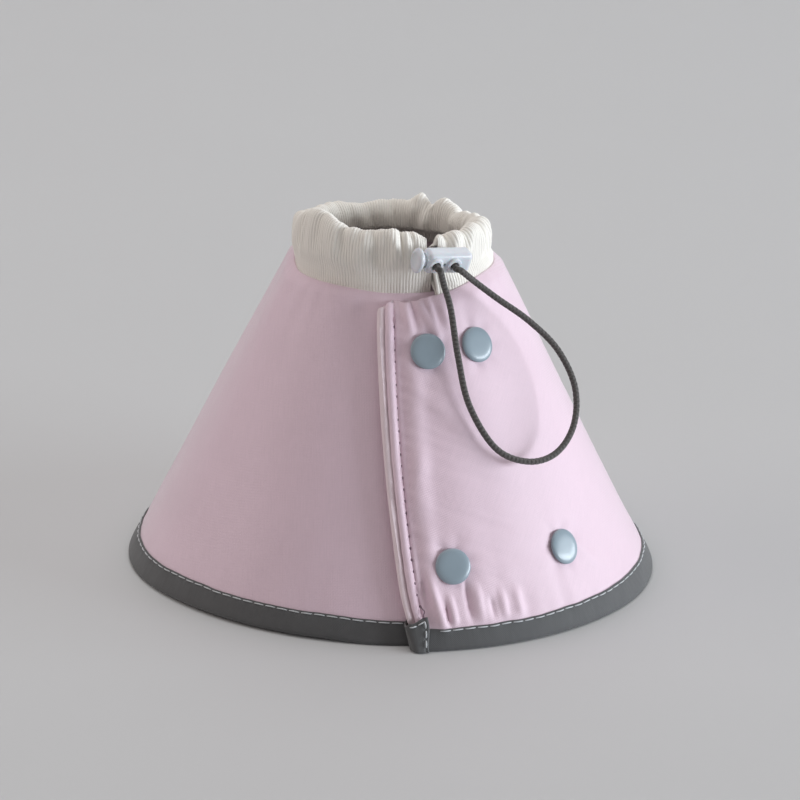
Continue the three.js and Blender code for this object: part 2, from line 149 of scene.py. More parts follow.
def wall_radius(turn, height, depth):
    cone = BASE_RADIUS - TAPER * height + (depth + lift(turn)) / math.cos(SLOPE)
    return cone + hem_spread(turn, height)


def ring(turn, radius, height):
    angle = np.radians(turn)
    lean = NECK_LEAN * height / NECK_HEIGHT
    x = AXIS[0] + lean - radius * np.sin(angle)
    y = AXIS[1] - radius * np.cos(angle)
    return np.stack(np.broadcast_arrays(x, y, height), axis=-1).astype(float)


def wall(turn, height, depth):
    return ring(turn, wall_radius(turn, height, depth), height)


def outward(turn):
    angle = math.radians(turn)
    return Vector((-math.sin(angle), -math.cos(angle), 0))


def neck_edge(turn):
    turn = np.asarray(turn, float)
    left = (1 - 0.2 * smooth(turn, 0, 30)) * (1 - smooth(turn, 62, 98))
    dip = np.maximum(left, smooth(turn, 295, 345))
    return NECK_HEIGHT - NECK_DIP * dip - FLAP_TOP_DROP * smooth(turn, 335, 352)


def flap_edge(height):
    """The turn of the flap's free edge, which is drawn in a little at its foot."""
    height = np.asarray(height, float)
    tuck = FLAP_FOOT_TUCK * (1 - smooth(height, 0, 20))
    return FLAP_EDGE_AT_BASE + FLAP_EDGE_SLANT * height - tuck


def degrees_near_edge(distance, height, turn=EDGE_TURN):
    """Degrees of turn for millimetres along the wall near the flap's free edge."""
    return np.degrees(distance / wall_radius(turn, height, WALL))


def stitch_dips(along, pitch):
    """1 at each stitch of a row, and 0 halfway between them."""
    return 0.5 + 0.5 * np.cos(2 * math.pi * along / pitch)


def snap_place(name):
    """Turn and height of a snap, from its CAD cap."""
    low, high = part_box(f"snap_cap_{name}")
    middle = (low + high) / 2 / MM
    lean = NECK_LEAN * middle.z / NECK_HEIGHT
    turn = math.degrees(math.atan2(AXIS[0] + lean - middle.x, AXIS[1] - middle.y))
    return turn, middle.z


SNAPS = {name: snap_place(name) for name in SNAP_PLACES}


def noise_at(*coordinates):
    """Smooth noise, about -1 to 1, at arrays of coordinates."""
    arrays = [np.asarray(a, float) for a in np.broadcast_arrays(*coordinates)]
    flat = [a.ravel() for a in arrays]
    while len(flat) < 3:
        flat.append(np.zeros_like(flat[0]))
    values = [noise.noise(Vector(point)) for point in zip(*flat)]
    return np.array(values).reshape(arrays[0].shape)


# ---- Mesh making --------------------------------------------------------------------------------

# Millimetres from an edge of the cloth to the rows that round it.
FINE_ROWS = (0, 0.15, 0.4, 0.8, 1.3)
# Degrees round the end of a cord to the rings that close it.
END_ANGLES = (25, 48, 66, 80)


def make_mesh(name, points, faces, uvs, material):
    """A smooth object from points in millimetres. uvs holds one pair for each point."""
    mesh = bpy.data.meshes.new(name)
    mesh.from_pydata((np.asarray(points) * MM).tolist(), [], faces)
    mesh.validate()
    layer = mesh.uv_layers.new(name="cloth")
    corners = np.zeros(len(mesh.loops), int)
    mesh.loops.foreach_get("vertex_index", corners)
    layer.data.foreach_set("uv", np.asarray(uvs, float)[corners].ravel())
    mesh.polygons.foreach_set("use_smooth", [True] * len(mesh.polygons))
    obj = bpy.data.objects.new(name, mesh)
    bpy.context.scene.collection.objects.link(obj)
    mesh.materials.append(material)
    return obj


def grid_normals(grid):
    along = np.gradient(grid, axis=0)
    up = np.gradient(grid, axis=1)
    normal = np.cross(up, along)
    return normal / np.maximum(np.linalg.norm(normal, axis=-1, keepdims=True), 1e-9)


def sheet(name, centre, half, uv, material):
    """A closed sheet of cloth round a grid of points: columns along the turn, rows up.

    half is half the cloth's thickness, one number or one for each point.
    """
    columns, rows = centre.shape[:2]
    normal = grid_normals(centre)
    half = np.broadcast_to(half, (columns, rows))[..., None]
    front = (centre + normal * half).reshape(-1, 3)
    back = (centre - normal * half).reshape(-1, 3)
    index = np.arange(columns * rows).reshape(columns, rows)
    a, b = index[:-1, :-1].ravel(), index[:-1, 1:].ravel()
    c, d = index[1:, 1:].ravel(), index[1:, :-1].ravel()
    shift = columns * rows
    front_faces = np.stack([a, b, c, d], 1)
    back_faces = np.stack([d, c, b, a], 1) + shift
    rim = np.concatenate([
        index[0, :-1], index[:-1, -1], index[-1, :0:-1], index[:0:-1, 0],
    ])
    following = np.roll(rim, -1)
    rim_faces = np.stack([rim, rim + shift, following + shift, following], 1)
    faces = np.concatenate([front_faces, back_faces, rim_faces]).tolist()
    uvs = np.tile(uv.reshape(-1, 2), (2, 1))
    obj = make_mesh(name, np.concatenate([front, back]), faces, uvs, material)
    obj.data.set_sharp_from_angle(angle=math.radians(CLOTH_SHARP_ANGLE))
    return obj


def from_ends(count, step):
    """How far each of a row of points, a step apart, is from the nearer end."""
    order = np.arange(count)
    return np.minimum(order, order[::-1]) * step


def edge_profile(distance, roundness):
    """How thick a sheet is near its rounded edge, from 0.15 at the edge to 1 inside."""
    part = np.clip(distance / roundness, 0, 1)
    return 0.15 + 0.85 * np.sqrt(1 - (1 - part) ** 2)


def edge_rows(low, high, count, fine=FINE_ROWS):
    """Rows from low to high that crowd together at both ends."""
    inner = np.linspace(low + fine[-1], high - fine[-1], count)
    start = low + np.array(fine[:-1])
    end = high - np.array(fine[:-1])[::-1]
    return np.concatenate([start, inner, end])


def tube_faces(rings, sides, first=0):
    faces = []
    for i in range(rings - 1):
        for k in range(sides):
            a, b = first + i * sides + k, first + i * sides + (k + 1) % sides
            faces.append((a, b, b + sides, a + sides))
    faces.append(tuple(first + k for k in reversed(range(sides))))
    faces.append(tuple(first + (rings - 1) * sides + k for k in range(sides)))
    return faces


def path_length(points):
    steps = np.linalg.norm(np.diff(np.asarray(points, float), axis=0), axis=1)
    return np.concatenate([[0], np.cumsum(steps)])


def along_path(values, run, at):
    """Values given at each point of a path, at other distances along it."""
    values = np.asarray(values, float)
    return np.stack([np.interp(at, run, values[:, k]) for k in range(values.shape[1])], axis=1)


def round_ends(path, radius):
    """Adds short steps past both ends, and says how wide a rounded cord is at every step."""
    path = np.asarray(path, float)
    angles = np.radians(END_ANGLES)
    first = (path[0] - path[1]) / np.linalg.norm(path[0] - path[1])
    last = (path[-1] - path[-2]) / np.linalg.norm(path[-1] - path[-2])
    before = [path[0] + first * radius * math.sin(a) for a in angles[::-1]]
    after = [path[-1] + last * radius * math.sin(a) for a in angles]
    width = np.concatenate([np.cos(angles[::-1]), np.ones(len(path)), np.cos(angles)])
    return np.concatenate([before, path, after]), width


def tube(name, path, radius, material, sides, surface=None):
    """A closed round cord with rounded ends. surface(angle, length) adds to its radius."""
    path, width = round_ends(path, radius)
    tangent = np.gradient(path, axis=0)
    length = path_length(path)
    angle = np.linspace(0, 2 * math.pi, sides, endpoint=False)
    side = Vector(tangent[0]).orthogonal().normalized()
    points, uvs = [], []
    for i, place in enumerate(path):
        ahead = Vector(tangent[i]).normalized()
        side = (side - ahead * side.dot(ahead)).normalized()
        round_it = np.outer(np.cos(angle), side) + np.outer(np.sin(angle), ahead.cross(side))
        size = radius + (surface(angle, length[i]) if surface else np.zeros(sides))
        points += list(place + round_it * (size * width[i])[:, None])
        uvs += [(radius * a, length[i]) for a in angle]
    return make_mesh(name, points, tube_faces(len(path), sides), uvs, material)


def spline(points, spacing):
    """A smooth curve through points, resampled evenly."""
    points = [Vector(p) for p in points]
    padded = [2 * points[0] - points[1]] + points + [2 * points[-1] - points[-2]]
    fine = []
    for p0, p1, p2, p3 in zip(padded, padded[1:], padded[2:], padded[3:]):
        for t in np.linspace(0, 1, 24, endpoint=False):
            fine.append(0.5 * (2 * p1 + (p2 - p0) * t + (2 * p0 - 5 * p1 + 4 * p2 - p3) * t ** 2
                               + (3 * p1 - p0 - 3 * p2 + p3) * t ** 3))
    fine.append(points[-1])
    fine = np.array(fine)
    length = path_length(fine)
    at = np.linspace(0, length[-1], max(3, round(length[-1] / spacing)))
    return along_path(fine, length, at)


def turned(name, profile, material, matrix, segments=64):
    """A lathed solid about local +Z from (radius, height) pairs. A ring repeats its start."""
    ringed = profile[0] == profile[-1]
    angles = [2 * math.pi * k / segments for k in range(segments)]
    circle = [(math.cos(angle), math.sin(angle)) for angle in angles]
    points, rows, faces = [], [], []
    for radius, height in profile[:-1] if ringed else profile:
        corners = circle if radius > 1e-6 else [(0, 0)]
        rows.append(range(len(points), len(points) + len(corners)))
        points += [(radius * x, radius * y, height) for x, y in corners]
    for low, high in zip(rows, rows[1:] + rows[:1] if ringed else rows[1:]):
        for k in range(segments):
            n = (k + 1) % segments
            if len(low) == 1:
                faces.append((low[0], high[n], high[k]))
            elif len(high) == 1:
                faces.append((low[k], low[n], high[0]))
            else:
                faces.append((low[k], low[n], high[n], high[k]))
    obj = make_mesh(name, points, faces, [point[:2] for point in points], material)
    obj.data.transform(matrix)
    return obj


def frame_matrix(x, y, z, place):
    """A matrix from three unit axes and a place in millimetres, for meshes already in metres."""
    columns = [Vector(x), Vector(y), Vector(z), Vector(place) * MM]
    rows = [[column[i] for column in columns] for i in range(3)]
    return Matrix(rows + [[0, 0, 0, 1]])


def face_outward(obj):
    work = bmesh.new()
    work.from_mesh(obj.data)
    bmesh.ops.recalc_face_normals(work, faces=work.faces)
    work.to_mesh(obj.data)
    work.free()


def apply_modifiers(obj):
    graph = bpy.context.evaluated_depsgraph_get()
    made = bpy.data.meshes.new_from_object(obj.evaluated_get(graph))
    made.name = obj.name
    obj.modifiers.clear()
    obj.data = made


# ---- Materials ----------------------------------------------------------------------------------

class Nodes:
    """Short names for building one material's nodes."""

    def __init__(self, name):
        self.material = bpy.data.materials.new(name)
        self.material.use_nodes = True
        self.tree = self.material.node_tree
        self.shader = self.tree.nodes["Principled BSDF"]

    def link(self, source, target):
        self.tree.links.new(source, target)

    def add(self, kind, **settings):
        node = self.tree.nodes.new(kind)
        for key, value in settings.items():
            setattr(node, key, value)
        return node

    def put(self, socket, value):
        if isinstance(value, bpy.types.NodeSocket):
            self.link(value, socket)
        else:
            socket.default_value = value

    def math(self, operation, *values):
        node = self.add("ShaderNodeMath", operation=operation)
        for socket, value in zip(node.inputs, values):
            self.put(socket, value)
        return node.outputs[0]

    def cloth_uv(self):
        """The piece's own coordinates, in millimetres: both together, then each alone."""
        node = self.add("ShaderNodeUVMap", uv_map="cloth")
        split = self.add("ShaderNodeSeparateXYZ")
        self.link(node.outputs[0], split.inputs[0])
        return node.outputs[0], split.outputs[0], split.outputs[1]

    def times(self, a, b):
        return self.math("MULTIPLY", a, b)

    def plus(self, a, b):
        return self.math("ADD", a, b)

    def wave(self, coordinate, pitch, phase=0.0):
        """A sine from 0 to 1 with one crest every pitch millimetres."""
        angle = self.math("MULTIPLY_ADD", coordinate, 2 * math.pi / pitch, phase)
        return self.math("MULTIPLY_ADD", self.math("SINE", angle), 0.5, 0.5)

    def fill(self, node, **inputs):
        """Sets or links a node's inputs, named with _ for each space."""
        for key, value in inputs.items():
            self.put(node.inputs[key.replace("_", " ")], value)
        return node

    def noise(self, vector, scale, detail=3.0):
        node = self.add("ShaderNodeTexNoise")
        self.fill(node, Vector=vector, Scale=scale, Detail=detail, Roughness=0.55)
        return node.outputs["Fac"]

    def stretched(self, vector, x, y, z=1.0):
        node = self.add("ShaderNodeMapping")
        return self.fill(node, Vector=vector, Scale=(x, y, z)).outputs[0]

    def place(self):
        return self.add("ShaderNodeTexCoord").outputs["Object"]

    def mix(self, factor, low, high):
        node = self.add("ShaderNodeMix", data_type="RGBA")
        return self.fill(node, Factor=factor, A=low, B=high).outputs["Result"]

    def range(self, value, low, high, to_low, to_high):
        node = self.add("ShaderNodeMapRange")
        self.fill(node, Value=value, From_Min=low, From_Max=high, To_Min=to_low, To_Max=to_high)
        return node.outputs[0]

    def bump(self, height, depth, strength, after=None):
        """Bump from a height of 0 to 1 that stands for depth millimetres."""
        node = self.add("ShaderNodeBump")
        self.fill(node, Strength=strength, Distance=depth * MM, Height=height)
        if after:
            self.link(after, node.inputs["Normal"])
        return node.outputs[0]

    def finish(self, **values):
        self.fill(self.shader, **values)
        return self.material


def tint(colour, gain):
    return tuple(min(1.0, c * gain) for c in colour[:3]) + (1.0,)


def woven(name, colour, pitch, bump_depth, roughness, sheen):
    """Plain-woven filament cloth with slubs along its threads and slow changes of tone."""
    n = Nodes(name)
    uv, u, v = n.cloth_uv()
    place = n.place()
    warp = n.wave(u, pitch)
    weft = n.wave(v, pitch)
    over = n.math("GREATER_THAN", n.wave(n.plus(u, v), 2 * pitch), 0.5)
    threads = n.plus(n.times(warp, over), n.times(weft, n.math("SUBTRACT", 1.0, over)))
    slub = n.noise(n.stretched(uv, 0.25, 4.0), 1.0, 2.0)
    slub_across = n.noise(n.stretched(uv, 3.0, 0.12), 1.0, 2.0)
    cloudy = n.noise(place, 28.0, 3.0)
    tone = n.plus(n.times(slub, 0.25), n.times(slub_across, 0.4))
    tone = n.plus(tone, n.times(cloudy, 0.35))
    shade = n.mix(n.range(tone, 0.35, 0.65, 0, 1), tint(colour, 0.94), tint(colour, 1.045))
    # Painted highlight: the crests of the threads are a little lighter.
    shade = n.mix(n.times(threads, 0.2), shade, tint(colour, 1.08))
    fine = n.bump(threads, bump_depth, 0.55)
    crumple = n.bump(n.noise(n.stretched(uv, 0.16, 0.16), 1.0, 4.0), 0.25, 0.35, fine)
    rough = n.range(tone, 0.3, 0.7, roughness - 0.05, roughness + 0.06)
    return n.finish(Base_Color=shade, Roughness=rough, Normal=crumple, Sheen_Weight=sheen,
                    Sheen_Roughness=0.4, Specular_IOR_Level=0.35)


def binding_tape(name, colour):
    """Folded twill tape: fine slanted ribs, dusty highlights and a painted highlight that makes the
    ribs' crests paler.
    """
    n = Nodes(name)
    uv, u, v = n.cloth_uv()
    twill = n.wave(n.math("MULTIPLY_ADD", v, 0.8, u), 0.62)
    cross = n.wave(n.math("MULTIPLY_ADD", v, -1.6, u), 0.5)
    ribs = n.math("MULTIPLY_ADD", cross, 0.35, n.times(twill, 0.65))
    dust = n.noise(n.place(), 160.0, 4.0)
    shade = n.mix(n.range(dust, 0.35, 0.7, 0, 1), tint(colour, 0.88), tint(colour, 1.12))
    # Painted highlight: the twill ribs' crests are much lighter than the tape.
    shade = n.mix(n.times(ribs, 0.3), shade, tint(colour, 1.35))
    fine = n.bump(ribs, 0.09, 0.6)
    pull = n.bump(n.noise(n.stretched(uv, 0.35, 0.12), 1.0, 2.0), 0.5, 0.35, fine)
    return n.finish(Base_Color=shade, Roughness=n.range(dust, 0.2, 0.8, 0.62, 0.78),
                    Normal=pull, Sheen_Weight=0.25, Sheen_Roughness=0.5)


RIB_PITCH = 1.05


def rib_knit(name, colour):
    """Fine rib knit: rounded ribs with a column of small stitches on each."""
    n = Nodes(name)
    _, u, v = n.cloth_uv()
    rib = n.wave(u, RIB_PITCH, math.pi / 2)
    slant = n.math("ABSOLUTE", n.math("SUBTRACT", n.wave(u, RIB_PITCH / 2), 0.5))
    stitch = n.wave(n.math("MULTIPLY_ADD", slant, 0.5, v), 0.55)
    fluff = n.noise(n.place(), 900.0, 3.0)
    cloudy = n.noise(n.place(), 60.0, 3.0)
    # Painted shade and highlight: the ribs' valleys are darker and their crests lighter.
    shade = n.mix(rib, tint(colour, 0.86), tint(colour, 1.02))
    shade = n.mix(n.times(stitch, 0.22), shade, tint(colour, 0.9))
    shade = n.mix(n.range(cloudy, 0.35, 0.7, 0, 0.25), shade, tint(colour, 0.9))
    fine = n.bump(n.math("MULTIPLY_ADD", fluff, 0.5, stitch), 0.07, 0.5)
    ribs = n.bump(rib, 0.12, 0.5, fine)
    return n.finish(Base_Color=shade, Roughness=n.range(fluff, 0.3, 0.7, 0.8, 0.92),
                    Normal=ribs, Sheen_Weight=0.35, Sheen_Roughness=0.6,
                    Specular_IOR_Level=0.25)


def braid(name, colour, pitch, around):
    """A braided cord's sleeve: two sets of strands that cross over each other."""
    n = Nodes(name)
    _, u, v = n.cloth_uv()
    right = n.wave(n.plus(n.times(u, pitch / around), v), pitch)
    left = n.wave(n.math("SUBTRACT", v, n.times(u, pitch / around)), pitch)
    strands = n.math("MAXIMUM", right, left)
    fluff = n.noise(n.place(), 700.0, 3.0)
    # Painted shade: the gaps between the strands are much darker than the strands' crests.
    shade = n.mix(n.range(strands, 0.4, 1.0, 0, 1), tint(colour, 0.55), tint(colour, 1.15))
    shade = n.mix(n.times(fluff, 0.35), shade, tint(colour, 1.5))
    fine = n.bump(n.math("MULTIPLY_ADD", fluff, 0.15, strands), 0.16, 0.8)
    return n.finish(Base_Color=shade, Roughness=0.72, Normal=fine, Sheen_Weight=0.2,
                    Specular_IOR_Level=0.3)


def moulded(name, colour, roughness, coat=0.0, grain=0.02, depth_colour=0.0):
    """Moulded plastic: slight orange peel, a few hairline scuffs and dust in its gloss."""
    n = Nodes(name)
    place = n.place()
    peel = n.noise(place, 420.0, 2.0)
    scuffs = n.noise(n.stretched(place, 300.0, 2000.0, 300.0), 1.0, 2.0)
    cloudy = n.noise(place, 90.0, 2.0)
    shade = n.mix(n.range(cloudy, 0.3, 0.7, 0, 1), tint(colour, 0.96), tint(colour, 1.04))
    rough = n.plus(n.range(scuffs, 0.5, 0.8, roughness, roughness + 0.05),
                   n.range(peel, 0.3, 0.7, -0.02, 0.02))
    return n.finish(Base_Color=shade, Roughness=rough, Normal=n.bump(peel, grain, 0.4),
                    Coat_Weight=coat, Coat_Roughness=0.12, Subsurface_Weight=depth_colour,
                    Subsurface_Scale=0.002)


def thread(name, colour):
    """Two-ply sewing thread."""
    n = Nodes(name)
    _, u, v = n.cloth_uv()
    ply = n.wave(n.plus(v, n.times(u, 0.6)), 0.45)
    # Painted shade: the grooves between the plies are darker.
    shade = n.mix(ply, tint(colour, 0.75), tint(colour, 1.05))
    return n.finish(Base_Color=shade, Roughness=0.55, Normal=n.bump(ply, 0.06, 0.6),
                    Sheen_Weight=0.3)


def brushed_wire(name, colour):
    n = Nodes(name)
    grain = n.noise(n.stretched(n.place(), 2000.0, 200.0, 2000.0), 1.0, 2.0)
    return n.finish(Base_Color=tint(colour, 1.0), Metallic=1.0,
                    Roughness=n.range(grain, 0.3, 0.7, 0.28, 0.42),
                    Normal=n.bump(grain, 0.01, 0.4))


def studio_floor(name, colour):
    n = Nodes(name)
    cloudy = n.noise(n.place(), 3.0, 3.0)
    shade = n.mix(cloudy, tint(colour, 0.985), tint(colour, 1.015))
    return n.finish(Base_Color=shade, Roughness=0.55, Normal=n.bump(cloudy, 0.05, 0.1))


PINK = woven("pink_fabric", (0.79, 0.605, 0.69), 0.55, 0.07, 0.46, 0.55)
LINING = woven("lining_fabric", (0.80, 0.66, 0.70), 0.42, 0.05, 0.58, 0.2)
TAPE = binding_tape("grey_binding", (0.078, 0.078, 0.080))
KNIT = rib_knit("rib_knit", (0.93, 0.885, 0.82))
CORD = braid("elastic_cord", (0.092, 0.084, 0.080), 1.5, 3.45)
SNAP_PLASTIC = moulded("snap_plastic", (0.275, 0.34, 0.39), 0.34, coat=0.2, grain=0.01)
LOCK_PLASTIC = moulded("lock_plastic", (0.68, 0.705, 0.75), 0.3, coat=0.2, depth_colour=0.15)
PALE_THREAD = thread("pale_thread", (0.62, 0.64, 0.66))
PINK_THREAD = thread("pink_thread", (0.62, 0.43, 0.50))
# Real dark thread for the thread tail, and painted shade for the flap edge's needle holes.
DARK_THREAD_AND_HOLE_SHADE = thread("dark_thread_and_hole_shade", (0.12, 0.05, 0.09))
STEEL = brushed_wire("spring_steel", (0.62, 0.62, 0.64))


# ---- The cloth wall -----------------------------------------------------------------------------

def flat_pattern(turn, height):
    """A point's place on the cone's flat pattern, in millimetres, so that threads run straight."""
    slant = (BASE_RADIUS / TAPER - height) / math.cos(SLOPE)
    angle = np.radians(turn) * math.sin(SLOPE)
    return np.stack([slant * np.sin(angle), slant * np.cos(angle)], axis=-1)


def arc(turn, height):
    """Millimetres along the wall for an angle of turn."""
    return np.radians(turn) * wall_radius(turn, height, WALL)


def crease(turn, height, start, end, width, rise):
    """A soft straight ridge in the cloth between two (turn, height) points."""
    middle = (start[0] + end[0]) / 2
    scale = math.radians(1) * wall_radius(middle, (start[1] + end[1]) / 2, WALL)
    ax, ay = start[0] * scale, start[1]
    bx, by = end[0] * scale, end[1]
    px, py = turn * scale, height
    length = math.hypot(bx - ax, by - ay)
    ux, uy = (bx - ax) / length, (by - ay) / length
    along = (px - ax) * ux + (py - ay) * uy
    across = (px - ax) * uy - (py - ay) * ux
    taper = smooth(along, -0.15 * length, 0.35 * length)
    taper = taper * (1 - smooth(along, 0.65 * length, 1.15 * length))
    return rise * taper * bell(across, width)


def snap_dimples(turn, height):
    """Cloth pressed in under each cap, with faint pulls running away from it."""
    total = np.zeros(np.broadcast(turn, height).shape)
    for place_turn, place_height in SNAPS.values():
        for lap in (0, 360):
            across = np.radians(turn - place_turn - lap) * wall_radius(place_turn, place_height, 7)
            up = (height - place_height) / math.cos(SLOPE)
            away = np.hypot(across, up)
            pull = 0.16 * np.cos(7 * np.arctan2(up, across) + place_turn)
            fade = bell(away - CAP_RADIUS, 5)
            total += -0.45 * np.exp(-(away / 7.5) ** 4) + pull * fade * (away > 4)
    return total


def neck_puckers(turn, height):
    """Short flutes under the gathered neck seam."""
    below = neck_edge(turn) - height
    flutes = noise_at(np.radians(turn) * 7.0, height * 0.02, 3.0)
    return 0.9 * flutes * np.exp(-np.maximum(below, 0) / 9)


def hem_puckers(turn, height):
    """Short flutes above the binding."""
    flutes = noise_at(np.radians(turn) * 13.0, height * 0.03, 11.0)
    strength = 0.35 + 0.75 * smooth(turn, 285, 330)
    return strength * flutes * np.exp(-np.maximum(height - 7, 0) / 9)


def slow_folds(turn, height):
    """The wall's own unevenness: wide flutes that run up and down, and faint crinkles."""
    wide = noise_at(np.radians(turn) * 2.2, height * 0.008, 21.0)
    narrow = noise_at(np.radians(turn) * 5.0, height * 0.02, 31.0)
    along = arc(turn, height)
    crinkle = 0.5 - np.abs(noise_at((along + 0.5 * height) / 9, (height - 0.3 * along) / 15, 55.0))
    return 0.75 * wide + 0.3 * narrow + (0.12 + 0.28 * smooth(turn, 318, 330)) * crinkle


FLAP_CREASES = (
    # start (turn, height), end (turn, height), width, rise
    ((353.2, 33.0), (352.6, 13.0), 1.4, 0.7),
    ((350.9, 23.0), (350.0, 12.0), 1.2, -0.8),
    ((349.4, 22.0), (346.9, 7.5), 1.1, 1.15),
    ((345.9, 14.0), (345.7, 7.0), 0.9, -1.0),
    ((345.2, 17.0), (344.2, 7.5), 1.0, 0.9),
    ((340.9, 21.0), (340.4, 7.5), 1.1, -1.0),
    ((338.6, 20.0), (338.2, 7.5), 1.5, 0.7),
    ((335.4, 15.0), (335.2, 7.5), 1.1, -0.6),
    ((332.7, 17.0), (332.4, 7.5), 1.4, 0.7),
    ((328.9, 17.0), (328.6, 7.5), 1.5, 0.6),
    ((351.0, 60.0), (352.5, 38.0), 2.5, 0.4),
    ((344.0, 78.0), (331.0, 62.0), 3.0, 0.5),
    ((352.0, 82.0), (340.0, 72.0), 2.4, 0.4),
    ((352.5, 107.0), (350.0, 97.0), 1.2, 0.7),
    ((349.0, 109.0), (347.0, 98.0), 1.1, -0.9),
    ((347.0, 109.0), (338.0, 95.0), 1.4, 0.8),
    ((341.0, 109.0), (339.0, 99.0), 1.2, 0.6),
    ((335.0, 108.0), (333.0, 98.0), 1.6, 0.6),
    ((312.0, 30.0), (300.0, 14.0), 3.0, 0.5),
)

LINING_BAND = 2.6
HEM_BAND = 2.9
STITCH_LINE = LINING_BAND + HEM_BAND
STITCH_PITCH = 4.1


def edge_distance(turn, height):
    """Millimetres from the flap's free edge."""
    return np.radians(flap_edge(height) - turn) * wall_radius(turn, height, WALL)


def hem_relief(turn, height):
    """The rolled hem along the flap's edge: a raised band, then a sewn-down groove."""
    away = edge_distance(turn, height)
    up = height / math.cos(SLOPE)
    dips = stitch_dips(up, STITCH_PITCH)
    uneven = noise_at(up / 7, 25.0)
    middle = LINING_BAND + HEM_BAND * 0.5
    band = (0.75 + 0.3 * uneven) * bell(away - middle, HEM_BAND * 0.4)
    groove = -(0.95 + 0.4 * dips) * bell(away - STITCH_LINE, 0.65)
    shoulder = -0.85 * bell(away - STITCH_LINE - 1.6, 2.2)
    puff = (0.75 + 0.6 * noise_at(up / 10, 35.0)) * bell(away - STITCH_LINE - 6.5, 3)
    pulls = (0.25 + 0.3 * uneven) * dips * bell(away - STITCH_LINE - 2.6, 1.8)
    pinch = -0.18 * dips * bell(away - STITCH_LINE + 1.6, 0.9)
    inside = smooth(away, STITCH_LINE - 1, STITCH_LINE)
    wobble = 0.22 * noise_at(up / 5, away / 5, 5.0) * (1 - inside)
    return band + groove + shoulder + puff + pulls + pinch + wobble


def free_of_tape(height):
    """The binding holds the cloth flat, and lets it go just above."""
    return smooth(height, TAPE_HEIGHT - 3.5, TAPE_HEIGHT + 1.5)


def free_of_neck(turn, height):
    """The neck seam holds the cloth's top edge to the cuff."""
    return 0.15 + 0.85 * smooth(neck_edge(turn) - height, 0, 3.5)


def cone_relief(turn, height):
    """How far the cloth stands out of the plain cone, in millimetres."""
    relief = slow_folds(turn, height) + neck_puckers(turn, height) + hem_puckers(turn, height)
    relief = relief * free_of_tape(height) * free_of_neck(turn, height)
    return relief + snap_dimples(turn, height)


def flap_relief(turn, height):
    relief = cone_relief(turn, height) * smooth(edge_distance(turn, height), 1.5, 9)
    extra = hem_relief(turn, height)
    for start, end, width, rise in FLAP_CREASES:
        extra = extra + crease(turn, height, start, end, width, 1.3 * rise)
    return relief + extra * free_of_tape(height)


# Degrees of turn between columns of points, on plain cloth and on the creased flap.
COLUMN_STEP = 0.8
CREASED_STEP = 0.45
WALL_ROWS = 96
WALL_FOOT = 2.5
# About halfway up the wall, and the wall's radius there.
MIDDLE_HEIGHT = 50.0
MIDDLE_RADIUS = 60
CLOTH_ROUNDNESS = 1.1
TAPE_HEIGHT = 7.8


def wall_grid(from_turn, to_turn, drop, step):
    """Turns and heights of a grid over the wall. Either end may slant with height."""
    fractions = edge_rows(0, NECK_HEIGHT - WALL_FOOT, WALL_ROWS)
    steps = max(8, round((to_turn(MIDDLE_HEIGHT) - from_turn(MIDDLE_HEIGHT)) / step))
    end_crowd = np.array([0, 0.0006, 0.0016, 0.003])
    along = np.concatenate([end_crowd, np.linspace(0.006, 0.994, steps), 1 - end_crowd[::-1]])
    part = fractions / fractions[-1]
    low, high = from_turn(part * NECK_HEIGHT), to_turn(part * NECK_HEIGHT)
    turn = low[None, :] + along[:, None] * (high - low)[None, :]
    top = neck_edge(turn) - drop
    return turn, WALL_FOOT + part[None, :] * (top - WALL_FOOT)


def rim_thickness(turn, height, low, high):
    """Thinner towards the top and towards either end that is a real edge of the cloth."""
    thick = edge_profile(neck_edge(turn) - height, CLOTH_ROUNDNESS)
    if low is not None:
        thick = thick * edge_profile(np.radians(turn - low) * MIDDLE_RADIUS, CLOTH_ROUNDNESS)
    if high is not None:
        thick = thick * edge_profile(np.radians(high - turn) * MIDDLE_RADIUS, CLOTH_ROUNDNESS)
    return thick


def neck_tuck(turn, height):
    """The flap's top lies down on the cloth that it overlaps."""
    return -1.6 * smooth(height, 96, 107) * smooth(turn, 332, 345)


def wall_cloth(name, span, depth, half, relief, material, rounded, drop=0.0, step=COLUMN_STEP):
    """A sheet of cloth over a span of the wall. Its real edges, the rounded ones, thin out."""
    turn, height = wall_grid(*span, drop, step)
    curl = -1.7 * smooth(height, neck_edge(turn) - 3.0, neck_edge(turn) + 0.5)
    offset = depth + relief(turn, height) + neck_tuck(turn, height) + (0 if drop else curl)
    centre = wall(turn, height, offset)
    ends = [None if end is None else end(height) for end in rounded]
    thick = half * rim_thickness(turn, height + drop, *ends)
    return sheet(name, centre, thick, flat_pattern(turn, height), material)


OUTER_DEPTH, OUTER_HALF = 1.85, 0.6
LINING_DEPTH, LINING_HALF = 0.55, 0.55
LINING_DROP = 1.2
CORNER = 2.6


def attach(obj, body, nodes=()):
    """Hides the CAD nodes that a finished piece replaces and, unless its body is BENDING, puts it
    on the body it rides on.

    A piece on the body BENDING stays where it is, with its transform baked in.
    """
    if nodes:
        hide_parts(*nodes)
    if body != BENDING:
        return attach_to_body(obj, body)
    middle = wall(HINGE_TURN, NECK_HEIGHT / 2, HINGE_DEPTH)
    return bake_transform(obj)


def inner_relief(turn, height):
    """The lining follows the outer cloth's folds, but less."""
    return 0.5 * slow_folds(turn, height) + 0.35 * hem_puckers(turn, height)


def flap_lining_relief(turn, height):
    """Next to the flap's edge the lining rolls out level with the hem."""
    away = edge_distance(turn, height)
    roll = 1.45 * bell(away - 1.0, 1.05) * smooth(height, 6, 11)
    uneven = 0.2 * noise_at(height / 4, away / 3, 45.0) * (1 - smooth(away, 1, 3))
    return roll + uneven + inner_relief(turn, height) * smooth(away, 2, 12)


